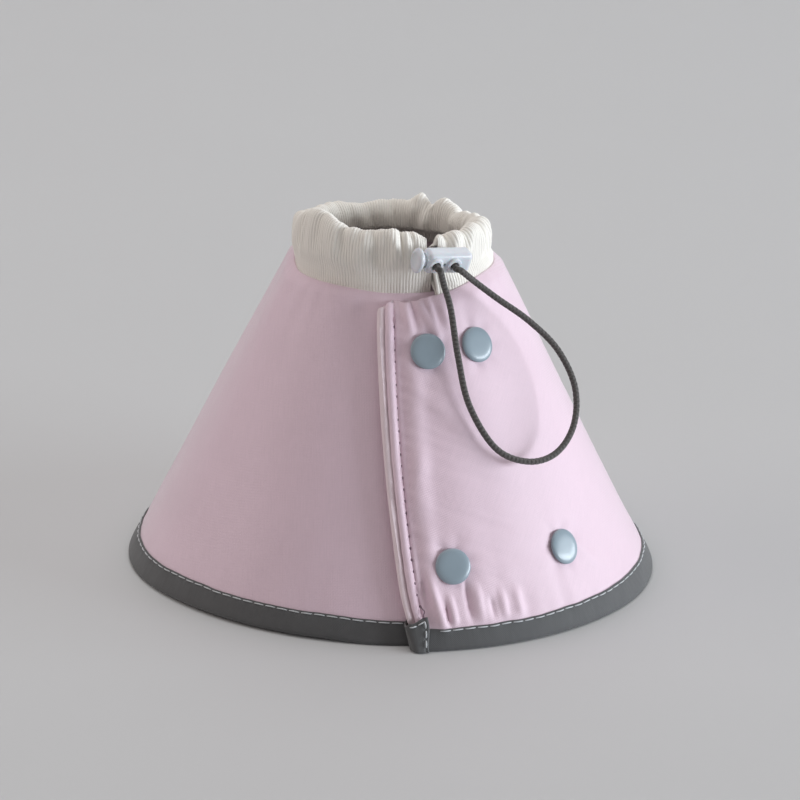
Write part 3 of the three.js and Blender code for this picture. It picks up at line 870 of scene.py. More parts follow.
def hidden_end(height):
    """The end of the sheet that lies under the flap."""
    return HIDDEN_END + 0 * np.asarray(height, float)


def seam_end(height):
    """Where the cone's piece of the sheet meets the flap's."""
    return SEAM_TURN + 0 * np.asarray(height, float)


def lining_end(height):
    """The flap's free edge, with its top corner rounded off."""
    past = np.clip((height - NECK_HEIGHT + CORNER) / CORNER, 0, 1)
    back = CORNER * (1 - np.sqrt(1 - past ** 2))
    return flap_edge(height) - degrees_near_edge(back, height)


def hem_end(height):
    """The outer cloth stops short of the lining's rolled edge."""
    wobble = 0.16 * noise_at(height / 3.2, 7.0) + 0.12 * noise_at(height / 11.0, 17.0)
    return lining_end(height) - degrees_near_edge(LINING_BAND + wobble, height)


def build_wall():
    cone_outer = wall_cloth("cone_cloth", (hidden_end, seam_end), OUTER_DEPTH, OUTER_HALF,
                            cone_relief, PINK, (hidden_end, None))
    cone_lining = wall_cloth("cone_lining_cloth", (hidden_end, seam_end), LINING_DEPTH,
                             LINING_HALF, inner_relief, LINING, (hidden_end, None), LINING_DROP)
    flap_outer = wall_cloth("flap_cloth", (seam_end, hem_end), OUTER_DEPTH, OUTER_HALF,
                            flap_relief, PINK, (None, hem_end), step=CREASED_STEP)
    flap_lining = wall_cloth("flap_lining_cloth", (seam_end, lining_end), LINING_DEPTH,
                             LINING_HALF, flap_lining_relief, LINING, (None, lining_end),
                             LINING_DROP)
    attach(cone_outer, "cone", ["cone_outer_fabric", "cone_stiffener"])
    attach(cone_lining, "cone", ["cone_lining"])
    attach(flap_outer, BENDING, ["flap_outer_fabric", "flap_stiffener"])
    attach(flap_lining, BENDING, ["flap_lining"])


# ---- Binding tape -------------------------------------------------------------------------------

TAPE_HALF = 0.33
TAPE_FACE = 2.86
TAPE_STEP = 0.6
TAPE_FOLD = (
    # depth, share of the tape's height, and extra height: from the outer edge, under the wall
    # and up inside
    (TAPE_FACE, 1.0, 0.0), (2.88, 0.6, 0.0), (TAPE_FACE, 0.25, 0.0), (2.72, 0.0, 0.9),
    (2.2, 0.0, 0.36), (1.2, 0.0, 0.34), (0.2, 0.0, 0.36), (-0.32, 0.0, 0.9), (-0.42, 0.3, 0.0),
    (-0.42, 0.6, 0.0), (-0.40, 0.86, 0.0),
)
TAPE_STITCH_PITCH = 4.5
TAPE_STITCH_INSET = 0.55


def tape_top(turn):
    """The tape's top edge wanders a little, and sits lower on the flap."""
    turn = np.asarray(turn, float)
    wander = 0.22 * noise_at(np.radians(turn) * 8, 2.0, 41.0)
    return TAPE_HEIGHT - 0.7 * smooth(turn, 285, 340) + wander


def tape_rise(turn):
    """The left front of the hem stands just clear of the ground."""
    return 0.8 * smooth(turn, 0, 14) * (1 - smooth(turn, 45, 75))


def tape_relief(turn, height, relief):
    """The tape lies on the cloth, is pulled in along its stitches and waves between them."""
    dips = stitch_dips(arc(turn, 4), TAPE_STITCH_PITCH)
    wave = 0.16 * noise_at(np.radians(turn) * 13, height * 0.08, 51.0) * smooth(height, 0.8, 3)
    seam = bell(height - tape_top(turn) - tape_rise(turn) + TAPE_STITCH_INSET, 0.7)
    return relief(turn, height) + wave - seam * (0.12 + 0.1 * dips)


def tape_grid(from_turn, to_turn, relief):
    section = [(depth, part * TAPE_HEIGHT, extra) for depth, part, extra in TAPE_FOLD]
    fold = spline(section, TAPE_STEP)
    turns = np.linspace(from_turn, to_turn, round((to_turn - from_turn) / TAPE_STEP))[:, None]
    depth = np.repeat(fold[None, :, 0], len(turns), axis=0)
    height = fold[None, :, 1] / TAPE_HEIGHT * tape_top(turns) + fold[None, :, 2] + tape_rise(turns)
    turn = np.repeat(turns, len(fold), axis=1)
    outside = smooth(depth, 1.8, 2.7)
    centre = wall(turn, height, depth + outside * tape_relief(turn, height, relief))
    length = np.linspace(0, 20, len(fold))[None, :]
    uv = np.stack(np.broadcast_arrays(arc(turn, 4), length), axis=-1)
    return centre[:, ::-1], uv[:, ::-1]


def build_binding():
    flap_foot = FLAP_EDGE_AT_BASE - FLAP_FOOT_TUCK
    for node, body, span, relief in (
        ("edge_binding", "cone", (HIDDEN_END, SEAM_TURN), cone_relief),
        ("flap_binding", BENDING, (SEAM_TURN, flap_foot), flap_relief),
    ):
        centre, uv = tape_grid(*span, relief)
        half = TAPE_HALF * edge_profile(from_ends(centre.shape[1], TAPE_STEP)[None, :], 0.7)
        tape = sheet(f"{node}_tape", centre, half, uv, TAPE)
        attach(tape, body, [node])


TAB_REACH = 7.4
TAB_STEP = 0.4
TAB_FOOT = 0.35
TAB_FOLD = (
    # millimetres in from the flap's edge, depth
    (TAB_REACH, 3.75), (5.0, 3.95), (1.5, 3.95), (-0.2, 3.5), (-0.75, 2.2), (-0.75, 0.4),
    (-0.2, -0.8), (1.5, -1.15), (5.2, -1.1),
)


def tab_point(away, height, depth):
    """The folded end is narrower at its foot."""
    foot = 1 - smooth(height, 0, 10)
    away = away + foot * (0.6 - 3.0 * np.clip(away / TAB_REACH, 0, 1)) * smooth(depth, 1.5, 3)
    return wall(flap_edge(height) - degrees_near_edge(away, height), height, depth)


def tab_top(away):
    """The folded end's top edge rises to a corner at its right."""
    return 9.2 + 1.9 * smooth(away, 1.0, TAB_REACH) - 1.0 * (1 - smooth(away, -0.75, 0.8))


def build_tab():
    fold = spline([(away, depth, 0) for away, depth in TAB_FOLD], TAB_STEP)
    part = edge_rows(0, 1, 18, fine=(0, 0.015, 0.04, 0.08))[None, :]
    away = np.repeat(fold[:, :1], part.size, axis=1)
    depth = np.repeat(fold[:, 1:2], part.size, axis=1)
    height = TAB_FOOT + part * (tab_top(away) - TAB_FOOT)
    outside = smooth(depth, 2.0, 3.4)
    puff = 0.3 * noise_at(away / 3.5, height / 5, 61.0) + 0.3 * np.sin(math.pi * part)
    puff = puff - 0.35 * bell(away - TAB_REACH + 1.5, 0.8)
    centre = tab_point(away, height, depth + outside * puff)
    ends = from_ends(len(fold), TAB_STEP)[:, None]
    half = 0.36 * edge_profile(np.minimum(part, 1 - part) * 10, 0.7) * edge_profile(ends, 0.7)
    tab = sheet("binding_end_fold", centre, half, np.stack([away + depth, height], axis=-1), TAPE)
    attach(tab, "flap", ["binding_end_tab"])


# ---- Stitches -----------------------------------------------------------------------------------

# Shares of a stitch's length, from its middle, at which its rings stand.
STITCH_STATIONS = np.array([-0.5, -0.46, -0.36, -0.18, 0, 0.18, 0.36, 0.46, 0.5])
STITCH_SIDES = 8
# Each seam's pitch, stitch length, thread radius, thread and height off the cloth.
TAPE_SEAM = (TAPE_STITCH_PITCH, 3.85, 0.23, PALE_THREAD, 0.12)
HEM_SEAM = (STITCH_PITCH, 3.2, 0.24, PINK_THREAD, 0.1)
# Painted shade: short, thick dark threads over the flap edge's needle holes stand for the shadow in
# them.
HEM_HOLE_SHADE = (STITCH_PITCH, 1.3, 0.36, DARK_THREAD_AND_HOLE_SHADE, 0.18)
TAB_SIDE_SEAM = (3.3, 2.5, 0.27, PALE_THREAD, 0.1)
TAB_TOP_SEAM = (3.1, 2.4, 0.25, PALE_THREAD, 0.1)
TAB_SEAM_INSET = 1.4
THREAD_TAIL = (
    # millimetres in from the flap's edge, height, depth
    (6.6, 10.0, 3.4), (6.1, 11.6, 4.1), (6.9, 12.6, 3.4), (6.3, 13.8, 4.2), (6.0, 14.6, 3.7),
)


def one_stitch(centre, up, radius, stand):
    """Rings of points for a short thread whose ends dive into the cloth."""
    ahead = np.gradient(centre, axis=0)
    ahead /= np.linalg.norm(ahead, axis=1, keepdims=True)
    across = np.cross(ahead, up)
    arch = np.clip(np.cos(STITCH_STATIONS * math.pi), 0, 1)[:, None]
    centre = centre + up * (stand + radius * (1.5 * arch ** 0.6 - 0.9))
    size = radius * (0.5 + 0.5 * arch ** 0.5)[:, None]
    angle = np.linspace(0, 2 * math.pi, STITCH_SIDES, endpoint=False)[None, :, None]
    ring_offset = across[:, None] * np.cos(angle) + up[:, None] * np.sin(angle)
    return centre[:, None] + ring_offset * size


def stitch_row(name, points, normals, pitch, length, radius, material, stand):
    """A row of stitches along a curve that lies on the cloth. They stand a little off it."""
    run = path_length(points)
    verts, uvs, faces = [], [], []
    for start in np.arange(pitch / 2, run[-1] - pitch / 3, pitch):
        at = start + STITCH_STATIONS * length
        centre = along_path(points, run, at)
        up = along_path(normals, run, at)
        rings = one_stitch(centre, up / np.linalg.norm(up, axis=1, keepdims=True), radius, stand)
        faces += tube_faces(len(at), STITCH_SIDES, len(verts))
        verts += list(rings.reshape(-1, 3))
        uvs += [(radius * 0.8 * k, v) for v in at for k in range(STITCH_SIDES)]
    row = make_mesh(name, verts, faces, uvs, material)
    face_outward(row)
    return row


def wall_normal(turn):
    angle = np.radians(turn)
    level = math.cos(SLOPE)
    up = np.full_like(angle, math.sin(SLOPE))
    return np.stack([-np.sin(angle) * level, -np.cos(angle) * level, up], axis=-1)


def tape_stitches(name, span, relief, body):
    turn = np.linspace(*span, 900)
    height = tape_top(turn) - TAPE_STITCH_INSET + tape_rise(turn)
    points = wall(turn, height, TAPE_FACE + TAPE_HALF + tape_relief(turn, height, relief))
    attach(stitch_row(name, points, wall_normal(turn), *TAPE_SEAM), body)


def build_stitches():
    tape_stitches("binding_topstitch", (HIDDEN_END + 1, SEAM_TURN), cone_relief, "cone")
    tape_stitches("flap_binding_topstitch", (SEAM_TURN, 350.0), flap_relief, BENDING)

    height = np.linspace(9.8, float(neck_edge(360)) - 3, 400)
    turn = flap_edge(height) - degrees_near_edge(STITCH_LINE, height, EDGE_TURN + 1)
    points = wall(turn, height, OUTER_DEPTH + OUTER_HALF + flap_relief(turn, height))
    normals = wall_normal(turn)
    seam = stitch_row("flap_edge_topstitch", points, normals, *HEM_SEAM)
    # Painted shade in the needle holes, as dark blobs along the hem's stitch line.
    hole_shade = stitch_row("flap_edge_needle_hole_shade", points[7:], normals[7:], *HEM_HOLE_SHADE)

    side = np.linspace(10.6, 0.6, 60)
    right = stitch_row("tab_side_stitch", tab_point(TAB_REACH - TAB_SEAM_INSET, side, 4.6),
                       wall_normal(350 + 0 * side), *TAB_SIDE_SEAM)
    away = np.linspace(0.2, TAB_REACH - TAB_SEAM_INSET, 60)
    top = stitch_row("tab_top_stitch", tab_point(away, tab_top(away) - 0.9, 4.5),
                     wall_normal(352 + 0 * away), *TAB_TOP_SEAM)
    tail_path = spline([tab_point(*point) for point in THREAD_TAIL], 0.15)
    tail = tube("thread_tail", tail_path, 0.17, DARK_THREAD_AND_HOLE_SHADE, 8)
    for row in (seam, hole_shade):
        attach(row, "flap")
    for row in (right, top, tail):
        attach(row, "flap")


# ---- Snaps --------------------------------------------------------------------------------------

def snap_matrix(name):
    """Local +Z points straight out of the flap's outer face."""
    turn, height = SNAPS[name]
    out = Vector(wall_normal(turn))
    across = Vector((0, 0, 1)).cross(out).normalized()
    return frame_matrix(across, out.cross(across), out, wall(turn, height, WALL + WRAP_LIFT))


def cap_face(rim, sign):
    """A snap cap's shell from its underside to its middle: a rounded rim and a low dome."""
    under = [(5.5, 0.0), (5.85, 0.1), (6.1, 0.32)]
    over = []
    for angle in np.linspace(0, math.pi / 2, 18):
        across, up = max(math.cos(angle), 0.0), math.sin(angle)
        over.append((CAP_RADIUS * across ** 0.45 if across > 1e-6 else 0.0, 0.6 + 1.2 * up ** 0.9))
    return [(radius, rim + sign * height) for radius, height in under + over]


SOCKET_PROFILE = (
    (1.3, -2.8), (4.55, -2.8), (4.8, -3.0), (4.8, -3.7), (4.5, -4.05), (3.9, -4.15), (3.4, -3.8),
    (3.1, -3.8), (2.95, -4.2), (2.7, -4.2), (2.55, -4.0), (2.1, -3.4), (1.95, -3.25), (1.3, -3.25),
    (1.3, -2.8),
)
STUD_PROFILE = (
    (1.3, -4.9), (4.8, -4.9), (5.0, -4.75), (4.9, -4.5), (4.5, -4.4), (3.4, -4.45), (3.1, -4.4),
    (1.95, -4.4), (1.7, -4.3), (1.8, -3.98), (1.74, -3.82), (1.6, -3.75), (1.42, -3.75),
    (1.3, -3.85), (1.3, -4.9),
)


def build_snaps():
    for place in SNAP_PLACES:
        matrix = snap_matrix(place)
        cap_profile = [(0, -3.6), (1.45, -3.6), (1.55, -3.45), (1.4, -3.3), (1.0, -3.3), (1.0, 0.1)]
        inner_profile = [(0, -3.8), (0.8, -3.8), (1.0, -3.95), (1.0, -7.95)]
        for name, node, profile, body in (
            ("snap_cap_shell", "snap_cap", cap_profile + cap_face(0.02, 1), "flap"),
            ("snap_socket_ring", "snap_socket", list(SOCKET_PROFILE), "flap"),
            ("snap_stud_ring", "snap_stud", list(STUD_PROFILE), "cone"),
            ("snap_inner_shell", "snap_inner_cap", inner_profile + cap_face(-7.95, -1), "cone"),
        ):
            piece = turned(f"{name}_{place}", profile, SNAP_PLASTIC, matrix)
            face_outward(piece)
            attach(piece, body, [f"{node}_{place}"])


# ---- Knitted cuff -------------------------------------------------------------------------------

CUFF_RADIUS = 32
CUFF_BASE = 110
CUFF_TILT = 2
CUFF_BLEND = 6
CUFF_FROM, CUFF_TO = -26.1, 334.3
TUNNEL = (-0.3, 9)
CUFF_STEP = 0.72
COLUMNS_PER_RIB = 6
KNIT_HALF = 0.42
RIB_RISE = 0.1
SLIT_OPENING = 3.0
CUFF_SECTION_TOP = 15.1
CUFF_SECTION = (
    # radial, height: up the outside from the neck seam, over the rim and down inside
    (-0.75, -5.0), (-0.5, -1.5), (-0.1, 0.6), (1.1, 1.7), (2.4, 4.2), (3.0, 7.8), (2.6, 11.4),
    (1.2, 14.2), (-0.9, CUFF_SECTION_TOP), (-2.7, 14.0), (-4.0, 11.0), (-4.0, 7.0), (-3.0, 3.0),
    (-1.9, 0.0), (-1.75, -4.8),
)
CUFF_RIM = (
    # turn, height of the rim above the ground
    (-30, 127.2), (-20, 128.0), (-8, 129.6), (2, 130.0), (14, 129.4), (22, 129.3), (29, 129.3),
    (40, 131.6), (50, 133.0), (62, 131.8), (72, 129.6), (84, 126.8), (100, 124.4), (125, 123.4),
    (150, 121.8), (172, 121.8), (190, 122.6), (200, 125.2), (208, 122.4), (217, 124.2),
    (230, 122.2), (246, 124.4), (258, 125.2),
    (282, 127.2), (305, 127.6), (320, 126.6), (336, 126.8),
)
CUFF_FOLDS = (
    # start (turn, height), end (turn, height), width, rise
    ((9.5, 16.0), (7.0, 4.5), 1.9, -1.5),
    ((1.5, 16.0), (-15.0, 2.0), 2.2, 1.0),
    ((-6.5, 17.0), (-8.5, 6.0), 1.0, -1.9),
    ((-12.5, 17.0), (-17.0, 6.0), 1.3, -1.2),
    ((30.0, 17.0), (26.0, 7.0), 2.2, -1.7),
    ((47.0, 16.0), (41.0, 3.0), 3.0, -1.1),
    ((66.0, 17.0), (70.0, 6.0), 2.0, -1.4),
    ((209.5, 18.0), (206.0, 5.0), 2.0, -2.0),
    ((232.0, 17.0), (228.0, 5.0), 2.4, -1.3),
    ((262.0, 17.0), (266.0, 4.0), 2.6, -1.3),
    ((290.0, 17.0), (287.0, 6.0), 2.0, -1.5),
    ((310.0, 17.0), (315.0, 5.0), 1.7, -1.4),
    ((323.0, 17.0), (326.0, 6.0), 1.4, -1.3),
)


def cuff_fold(turn, height, start, end, width, rise):
    """A gather in the cuff: it fades out towards the neck seam and runs right over the rim."""
    part = np.clip((start[1] - height) / (start[1] - end[1]), -0.3, 1.3)
    middle = start[0] + (end[0] - start[0]) * part
    across = np.radians(turn - middle) * CUFF_RADIUS
    fade = smooth(height, end[1] - 3, end[1] + 5)
    return rise * fade * bell(across, width)


def cuff_gathers(turn, height):
    """How far the doubled knit is drawn in or out by its gathers, in millimetres."""
    angle = np.radians(turn + 0.35 * height)
    soft = 1.7 * noise_at(angle * 2.6, height * 0.05, 71.0)
    fine = noise_at(angle * 6.0, height * 0.06, 81.0)
    busy = 0.5 + 0.8 * smooth(turn, 60, 190)
    total = (soft + busy * (0.6 - 2.0 * np.abs(fine))) * smooth(height, 0.5, 9)
    for start, end, width, rise in CUFF_FOLDS:
        total = total + cuff_fold(turn, height, start, end, width, rise)
    return total


def cuff_lean(turn, height):
    """The left side stands straight up on the neck edge, without the front's bulge."""
    return -0.9 * smooth(height, 1, 7) * smooth(turn, 48, 72) * (1 - smooth(turn, 115, 165))


def cuff_point(turn, radial, height):
    """From the cuff's own section, drawn from the neck edge, to its place round the neck."""
    rise = smooth(height, 0, CUFF_BLEND)
    level = CUFF_BASE + CUFF_TILT * np.cos(np.radians(turn))
    z = (1 - rise) * (neck_edge(turn) + height) + rise * (level + height)
    radius = (1 - rise) * wall_radius(turn, z, 0) + rise * CUFF_RADIUS
    return ring(turn, radius + radial, z)


def open_slit(turn, height):
    """The turn of each point once the two sides of the slit have parted over the cord."""
    opening = SLIT_OPENING * smooth(height, 6.5, 10)
    placed = turn + opening * np.exp(-(turn - CUFF_FROM) / 5)
    return placed - opening * np.exp(-(CUFF_TO - turn) / 5)


def rim_gain(turn):
    """How many times taller than its section the cuff stands, from the height of its rim."""
    rim = np.interp(turn, *zip(*CUFF_RIM))
    rim = rim + 0.9 * noise_at(np.radians(turn) * 5.5, 91.0)
    rim = rim + 0.55 * np.clip(cuff_gathers(turn, 14.0), -2.5, 1.5)
    level = CUFF_BASE + CUFF_TILT * np.cos(np.radians(turn))
    return (rim - level - KNIT_HALF) / CUFF_SECTION_TOP


def cuff_grid(from_turn, to_turn):
    """The middle of the gathered knit, and its own coordinates in millimetres."""
    section = spline([(radial, height, 0) for radial, height in CUFF_SECTION], CUFF_STEP)[:, :2]
    normal = np.gradient(section, axis=0)[:, ::-1] * (1, -1)
    normal /= np.linalg.norm(normal, axis=1, keepdims=True)
    steps = round(math.radians(to_turn - from_turn) * CUFF_RADIUS / RIB_PITCH * COLUMNS_PER_RIB)
    turn = np.linspace(from_turn, to_turn, steps)[:, None]
    radial, height = section[None, :, 0], section[None, :, 1]
    placed = open_slit(turn, height)
    from_slit = np.radians(np.minimum(turn - CUFF_FROM, CUFF_TO - turn)) * CUFF_RADIUS
    pinch = 0.85 * bell(from_slit, 2.4) * smooth(height, 10.0, 12.5)
    radial = radial * (1 - pinch) + 0.9 * pinch
    free = 1 - bell(from_slit, 3.5) * (1 - smooth(height, 7, 12))
    gathers = cuff_gathers(placed, np.maximum(height, 0)) + cuff_lean(turn, height)
    gathers = gathers * free
    high = np.where(height > 0, height * rim_gain(turn), height)
    puff = 0.5 * noise_at(np.radians(placed) * 9, height * 0.12, 101.0) * smooth(height, 1, 6)
    knit = np.radians(turn) * (CUFF_RADIUS + 1.2)
    out = puff * free + RIB_RISE * np.cos(2 * math.pi * knit / RIB_PITCH)
    centre = cuff_point(placed, radial + gathers + out * normal[None, :, 0],
                        high + out * normal[None, :, 1])
    length = np.broadcast_to(path_length(section)[None, :], placed.shape)
    uv = np.stack([np.broadcast_to(knit, placed.shape), length], axis=-1)
    return centre, uv


def build_cuff():
    for name, node, body, span in (
        ("knitted_cuff", "neck_cuff", "cone", (CUFF_FROM, SEAM_TURN)),
        ("knitted_cuff_flap_side", "neck_cuff_flap_side", BENDING, (SEAM_TURN, CUFF_TO)),
    ):
        centre, uv = cuff_grid(*span)
        half = KNIT_HALF * edge_profile(from_ends(centre.shape[1], CUFF_STEP)[None, :], 0.7)
        from_slit = np.arange(centre.shape[0])[:, None] * RIB_PITCH / COLUMNS_PER_RIB
        if body == BENDING:
            from_slit = from_slit[::-1]
        cuff = sheet(name, centre, half * edge_profile(from_slit, 0.6), uv, KNIT)
        attach(cuff, body, [node])


# ---- Drawcord -----------------------------------------------------------------------------------

CORD_RADIUS = 1.1
CORD_STRANDS = 8
BRAID_PITCH = 1.9
BRAID_RISE = 0.06
LOCK_TURN = -26.2
LOCK_EXIT = (44, 119.5)
LOCK_TILT = math.radians(20)
LOCK_ROLL = math.radians(6)
EXIT_REACH = 4.0
HOLE_SPACING = 7.2
HOLE_OUT = outward(LOCK_TURN) * math.cos(LOCK_TILT) - Vector((0, 0, math.sin(LOCK_TILT)))
LEVEL = Vector((0, 0, 1)).cross(outward(LOCK_TURN))
BARREL = LEVEL * math.cos(LOCK_ROLL) + LEVEL.cross(HOLE_OUT) * math.sin(LOCK_ROLL)
LOCK_CENTRE = Vector(ring(LOCK_TURN, *LOCK_EXIT)) - HOLE_OUT * EXIT_REACH
LOOP_OUTLINE = (
    # across the front and down the cone's slope from the lock
    (-1.35, 5.9), (0.1, 14.5), (0.1, 30.7), (1.3, 47.9), (8.5, 63.6), (19.9, 69.6), (31.1, 67.9),
    (39.6, 59.1), (42.5, 46.1), (38.3, 32.6), (29.2, 21.6), (18.3, 12.6), (10.7, 6.2),
)
# Degrees from the cuff's slit to the drawcord's run in the cuff.
TUNNEL_GAP = 4.9
CORD_STEP = 0.24
LOOP_SINK = 2.75
LOOP_SINK_LENGTH = 12


def lock_point(along, out):
    return LOCK_CENTRE + BARREL * along + HOLE_OUT * out


def braided(name, path):
    """A braided cord along a path: strands that cross over each other, as raised lumps."""
    def strands(angle, length):
        turns = 2 * math.pi * length / BRAID_PITCH
        half = CORD_STRANDS / 2
        right, left = np.cos(half * angle + turns), np.cos(half * angle - turns)
        return BRAID_RISE * np.maximum(right, left)

    return tube(name, path, CORD_RADIUS - 0.03, CORD, 24, strands)


def loop_path():
    down_slope = outward(LOCK_TURN) * math.sin(SLOPE) - Vector((0, 0, math.cos(SLOPE)))
    off_cone = outward(LOCK_TURN) * math.cos(SLOPE) + Vector((0, 0, math.sin(SLOPE)))
    half = HOLE_SPACING / 2
    start = lock_point(0, EXIT_REACH)
    hanging = []
    for across, down in LOOP_OUTLINE:
        sink = LOOP_SINK * (1 - math.exp(-down / LOOP_SINK_LENGTH))
        hanging.append(start + LEVEL * across + down_slope * down - off_cone * sink)
    return spline([
        lock_point(-half, EXIT_REACH),
        lock_point(-half, EXIT_REACH + 1.3),
        lock_point(-half + 0.4, EXIT_REACH + 2.4),
        *hanging,
        lock_point(half + 1.4, EXIT_REACH + 2.5),
        lock_point(half, EXIT_REACH + 1.3),
        lock_point(half, EXIT_REACH),
    ], CORD_STEP)


def leg_path(side):
    """From the cuff's tunnel, out through the slit and straight through the lock."""
    end = CUFF_FROM if side < 0 else CUFF_TO - 360
    half = side * HOLE_SPACING / 2
    return spline([
        Vector(cuff_point(end - side * 5.5, *TUNNEL)),
        Vector(cuff_point(end - side * 2.4, TUNNEL[0] + 0.7, TUNNEL[1] + 0.2)),
        lock_point(side * 1.3, -6.0) - Vector((0, 0, 1.5)),
        lock_point(side * 2.6, -4.3) - Vector((0, 0, 0.4)),
        lock_point(half, -2.8),
        lock_point(half, 0),
        lock_point(half, EXIT_REACH),
    ], CORD_STEP)


def tunnel_path(from_turn, to_turn):
    turns = np.linspace(from_turn, to_turn, 60)
    radial, height = TUNNEL
    radials = [radial + cuff_lean(turn, height) for turn in turns]
    return spline([Vector(cuff_point(*place, height)) for place in zip(turns, radials)], 0.3)


def build_drawcord():
    for name, node, body, path in (
        ("in_cuff", "neck_run", "cone", tunnel_path(CUFF_FROM + TUNNEL_GAP, SEAM_TURN)),
        ("in_flap_cuff", "flap_run", BENDING, tunnel_path(SEAM_TURN, CUFF_TO - TUNNEL_GAP)),
        ("left_end", "leg_left", "flap", leg_path(-1)),
        ("right_end", "leg_right", "flap", leg_path(1)),
    ):
        attach(braided(f"drawcord_{name}", path), body, [f"drawcord_{node}"])
    loop = braided("drawcord_free_loop", loop_path())
    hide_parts("drawcord_loop")
    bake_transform(loop)


# ---- Cord lock ----------------------------------------------------------------------------------

LOCK_LEFT, LOCK_RIGHT = -6.6, 10.8
LOCK_DEPTH, LOCK_WIDTH = 6.0, 8.2
BORE_RADIUS, BORE_END = 2.4, 9.9
HOLES = (-HOLE_SPACING / 2, HOLE_SPACING / 2)
HOLE_RADIUS = 1.4
COLLAR_RADIUS = 2.75
STEM_RADIUS, STEM_END = 2.1, 5.8
STEM_SLOT = 2.7
PLUNGER_TRAVEL = 1.4
HEAD_FROM, HEAD_TO = -10.2, -8.2
HEAD_DEPTH, HEAD_WIDTH = 7.6, 9.2
SPRING_COILS, SPRING_RADIUS, WIRE_RADIUS, SPRING_GAP = 3, 1.8, 0.22, 0.5
LOCK_SEGMENTS = 48
BEVEL_SEGMENTS = 8


def lock_matrix():
    """Local +X runs along the barrel and +Y out along the cord holes."""
    return frame_matrix(BARREL, HOLE_OUT, BARREL.cross(HOLE_OUT), LOCK_CENTRE)


def lathe_along(axis, profile, x=0):
    """A lathed solid about the lock's own X axis, or about its Y axis moved along to x."""
    turn = {"X": Matrix.Rotation(math.pi / 2, 4, "Y"), "Y": Matrix.Rotation(-math.pi / 2, 4, "X")}
    place = Matrix.Translation(Vector((x, 0, 0)) * MM) @ turn[axis]
    solid = turned("part", profile, LOCK_PLASTIC, place, LOCK_SEGMENTS)
    face_outward(solid)
    return solid


def rounded_block(low, high, radius):
    """A block between two corners, with every edge rounded."""
    low, high = Vector(low), Vector(high)
    points = [(x, y, z) for x in (low.x, high.x) for y in (low.y, high.y) for z in (low.z, high.z)]
    faces = [(0, 1, 3, 2), (4, 6, 7, 5), (0, 4, 5, 1), (2, 3, 7, 6), (0, 2, 6, 4), (1, 5, 7, 3)]
    block = make_mesh("block", points, faces, [(p[0], p[2]) for p in points], LOCK_PLASTIC)
    face_outward(block)
    bevel = block.modifiers.new("bevel", "BEVEL")
    bevel.width = radius * MM
    bevel.segments = BEVEL_SEGMENTS
    apply_modifiers(block)
    return block


def combined(target, cutter, operation):
    """Joins the cutter to the target or cuts it out, and removes the cutter."""
    modifier = target.modifiers.new("boolean", "BOOLEAN")
    modifier.operation = operation
    modifier.solver = "EXACT"
    modifier.object = cutter
    apply_modifiers(target)
    bpy.data.objects.remove(cutter)


def rod(radius, low, high):
    """The profile of a plain rod."""
    return [(0, low), (radius, low), (radius, high), (0, high)]


def build_lock_body():
    half_depth, half_width = LOCK_DEPTH / 2, LOCK_WIDTH / 2
    body = rounded_block((LOCK_LEFT, -half_depth, -half_width),
                         (LOCK_RIGHT, half_depth, half_width), 1.9)
    mouth = [(0, LOCK_LEFT - 0.1), (2.8, LOCK_LEFT - 0.1), (2.95, LOCK_LEFT + 0.1),
             (2.95, LOCK_LEFT + 2.4), (2.8, LOCK_LEFT + 2.8), (0, LOCK_LEFT + 2.8)]
    combined(body, lathe_along("X", mouth), "UNION")
    collar = [(0, 0), (COLLAR_RADIUS + 0.2, 0), (COLLAR_RADIUS + 0.15, 3.05), (COLLAR_RADIUS, 3.3),
              (COLLAR_RADIUS, 3.6), (COLLAR_RADIUS - 0.15, 3.88), (COLLAR_RADIUS - 0.5, EXIT_REACH),
              (0, EXIT_REACH)]
    for x in HOLES:
        combined(body, lathe_along("Y", collar, x), "UNION")
    flare = [(0, -4), (HOLE_RADIUS, -4), (HOLE_RADIUS, 3.5), (HOLE_RADIUS + 0.35, 4.05),
             (HOLE_RADIUS + 0.5, 4.5), (0, 4.5)]
    for x in HOLES:
        combined(body, lathe_along("Y", flare, x), "DIFFERENCE")
    bore = [(0, LOCK_LEFT - 1), (BORE_RADIUS + 0.25, LOCK_LEFT - 1), (BORE_RADIUS, LOCK_LEFT),
            (BORE_RADIUS, BORE_END), (0, BORE_END)]
    combined(body, lathe_along("X", bore), "DIFFERENCE")
    vent = [(0, 2.0), (0.6, 2.0), (0.6, 2.7), (0.8, 3.1), (0, 3.1)]
    combined(body, lathe_along("Y", vent), "DIFFERENCE")
    end_mark = rod(1.5, LOCK_RIGHT - 0.25, LOCK_RIGHT + 1)
    combined(body, lathe_along("X", end_mark), "DIFFERENCE")
    finished_part(body, "cord_lock_shell", "cord_lock_body", "cord_lock")


def finished_part(obj, name, node, body):
    """Names a piece of the lock, and puts it in its place."""
    obj.name = obj.data.name = name
    obj.data.set_sharp_from_angle(angle=math.radians(LOCK_SHARP_ANGLE))
    obj.data.transform(lock_matrix())
    attach(obj, body, [node])


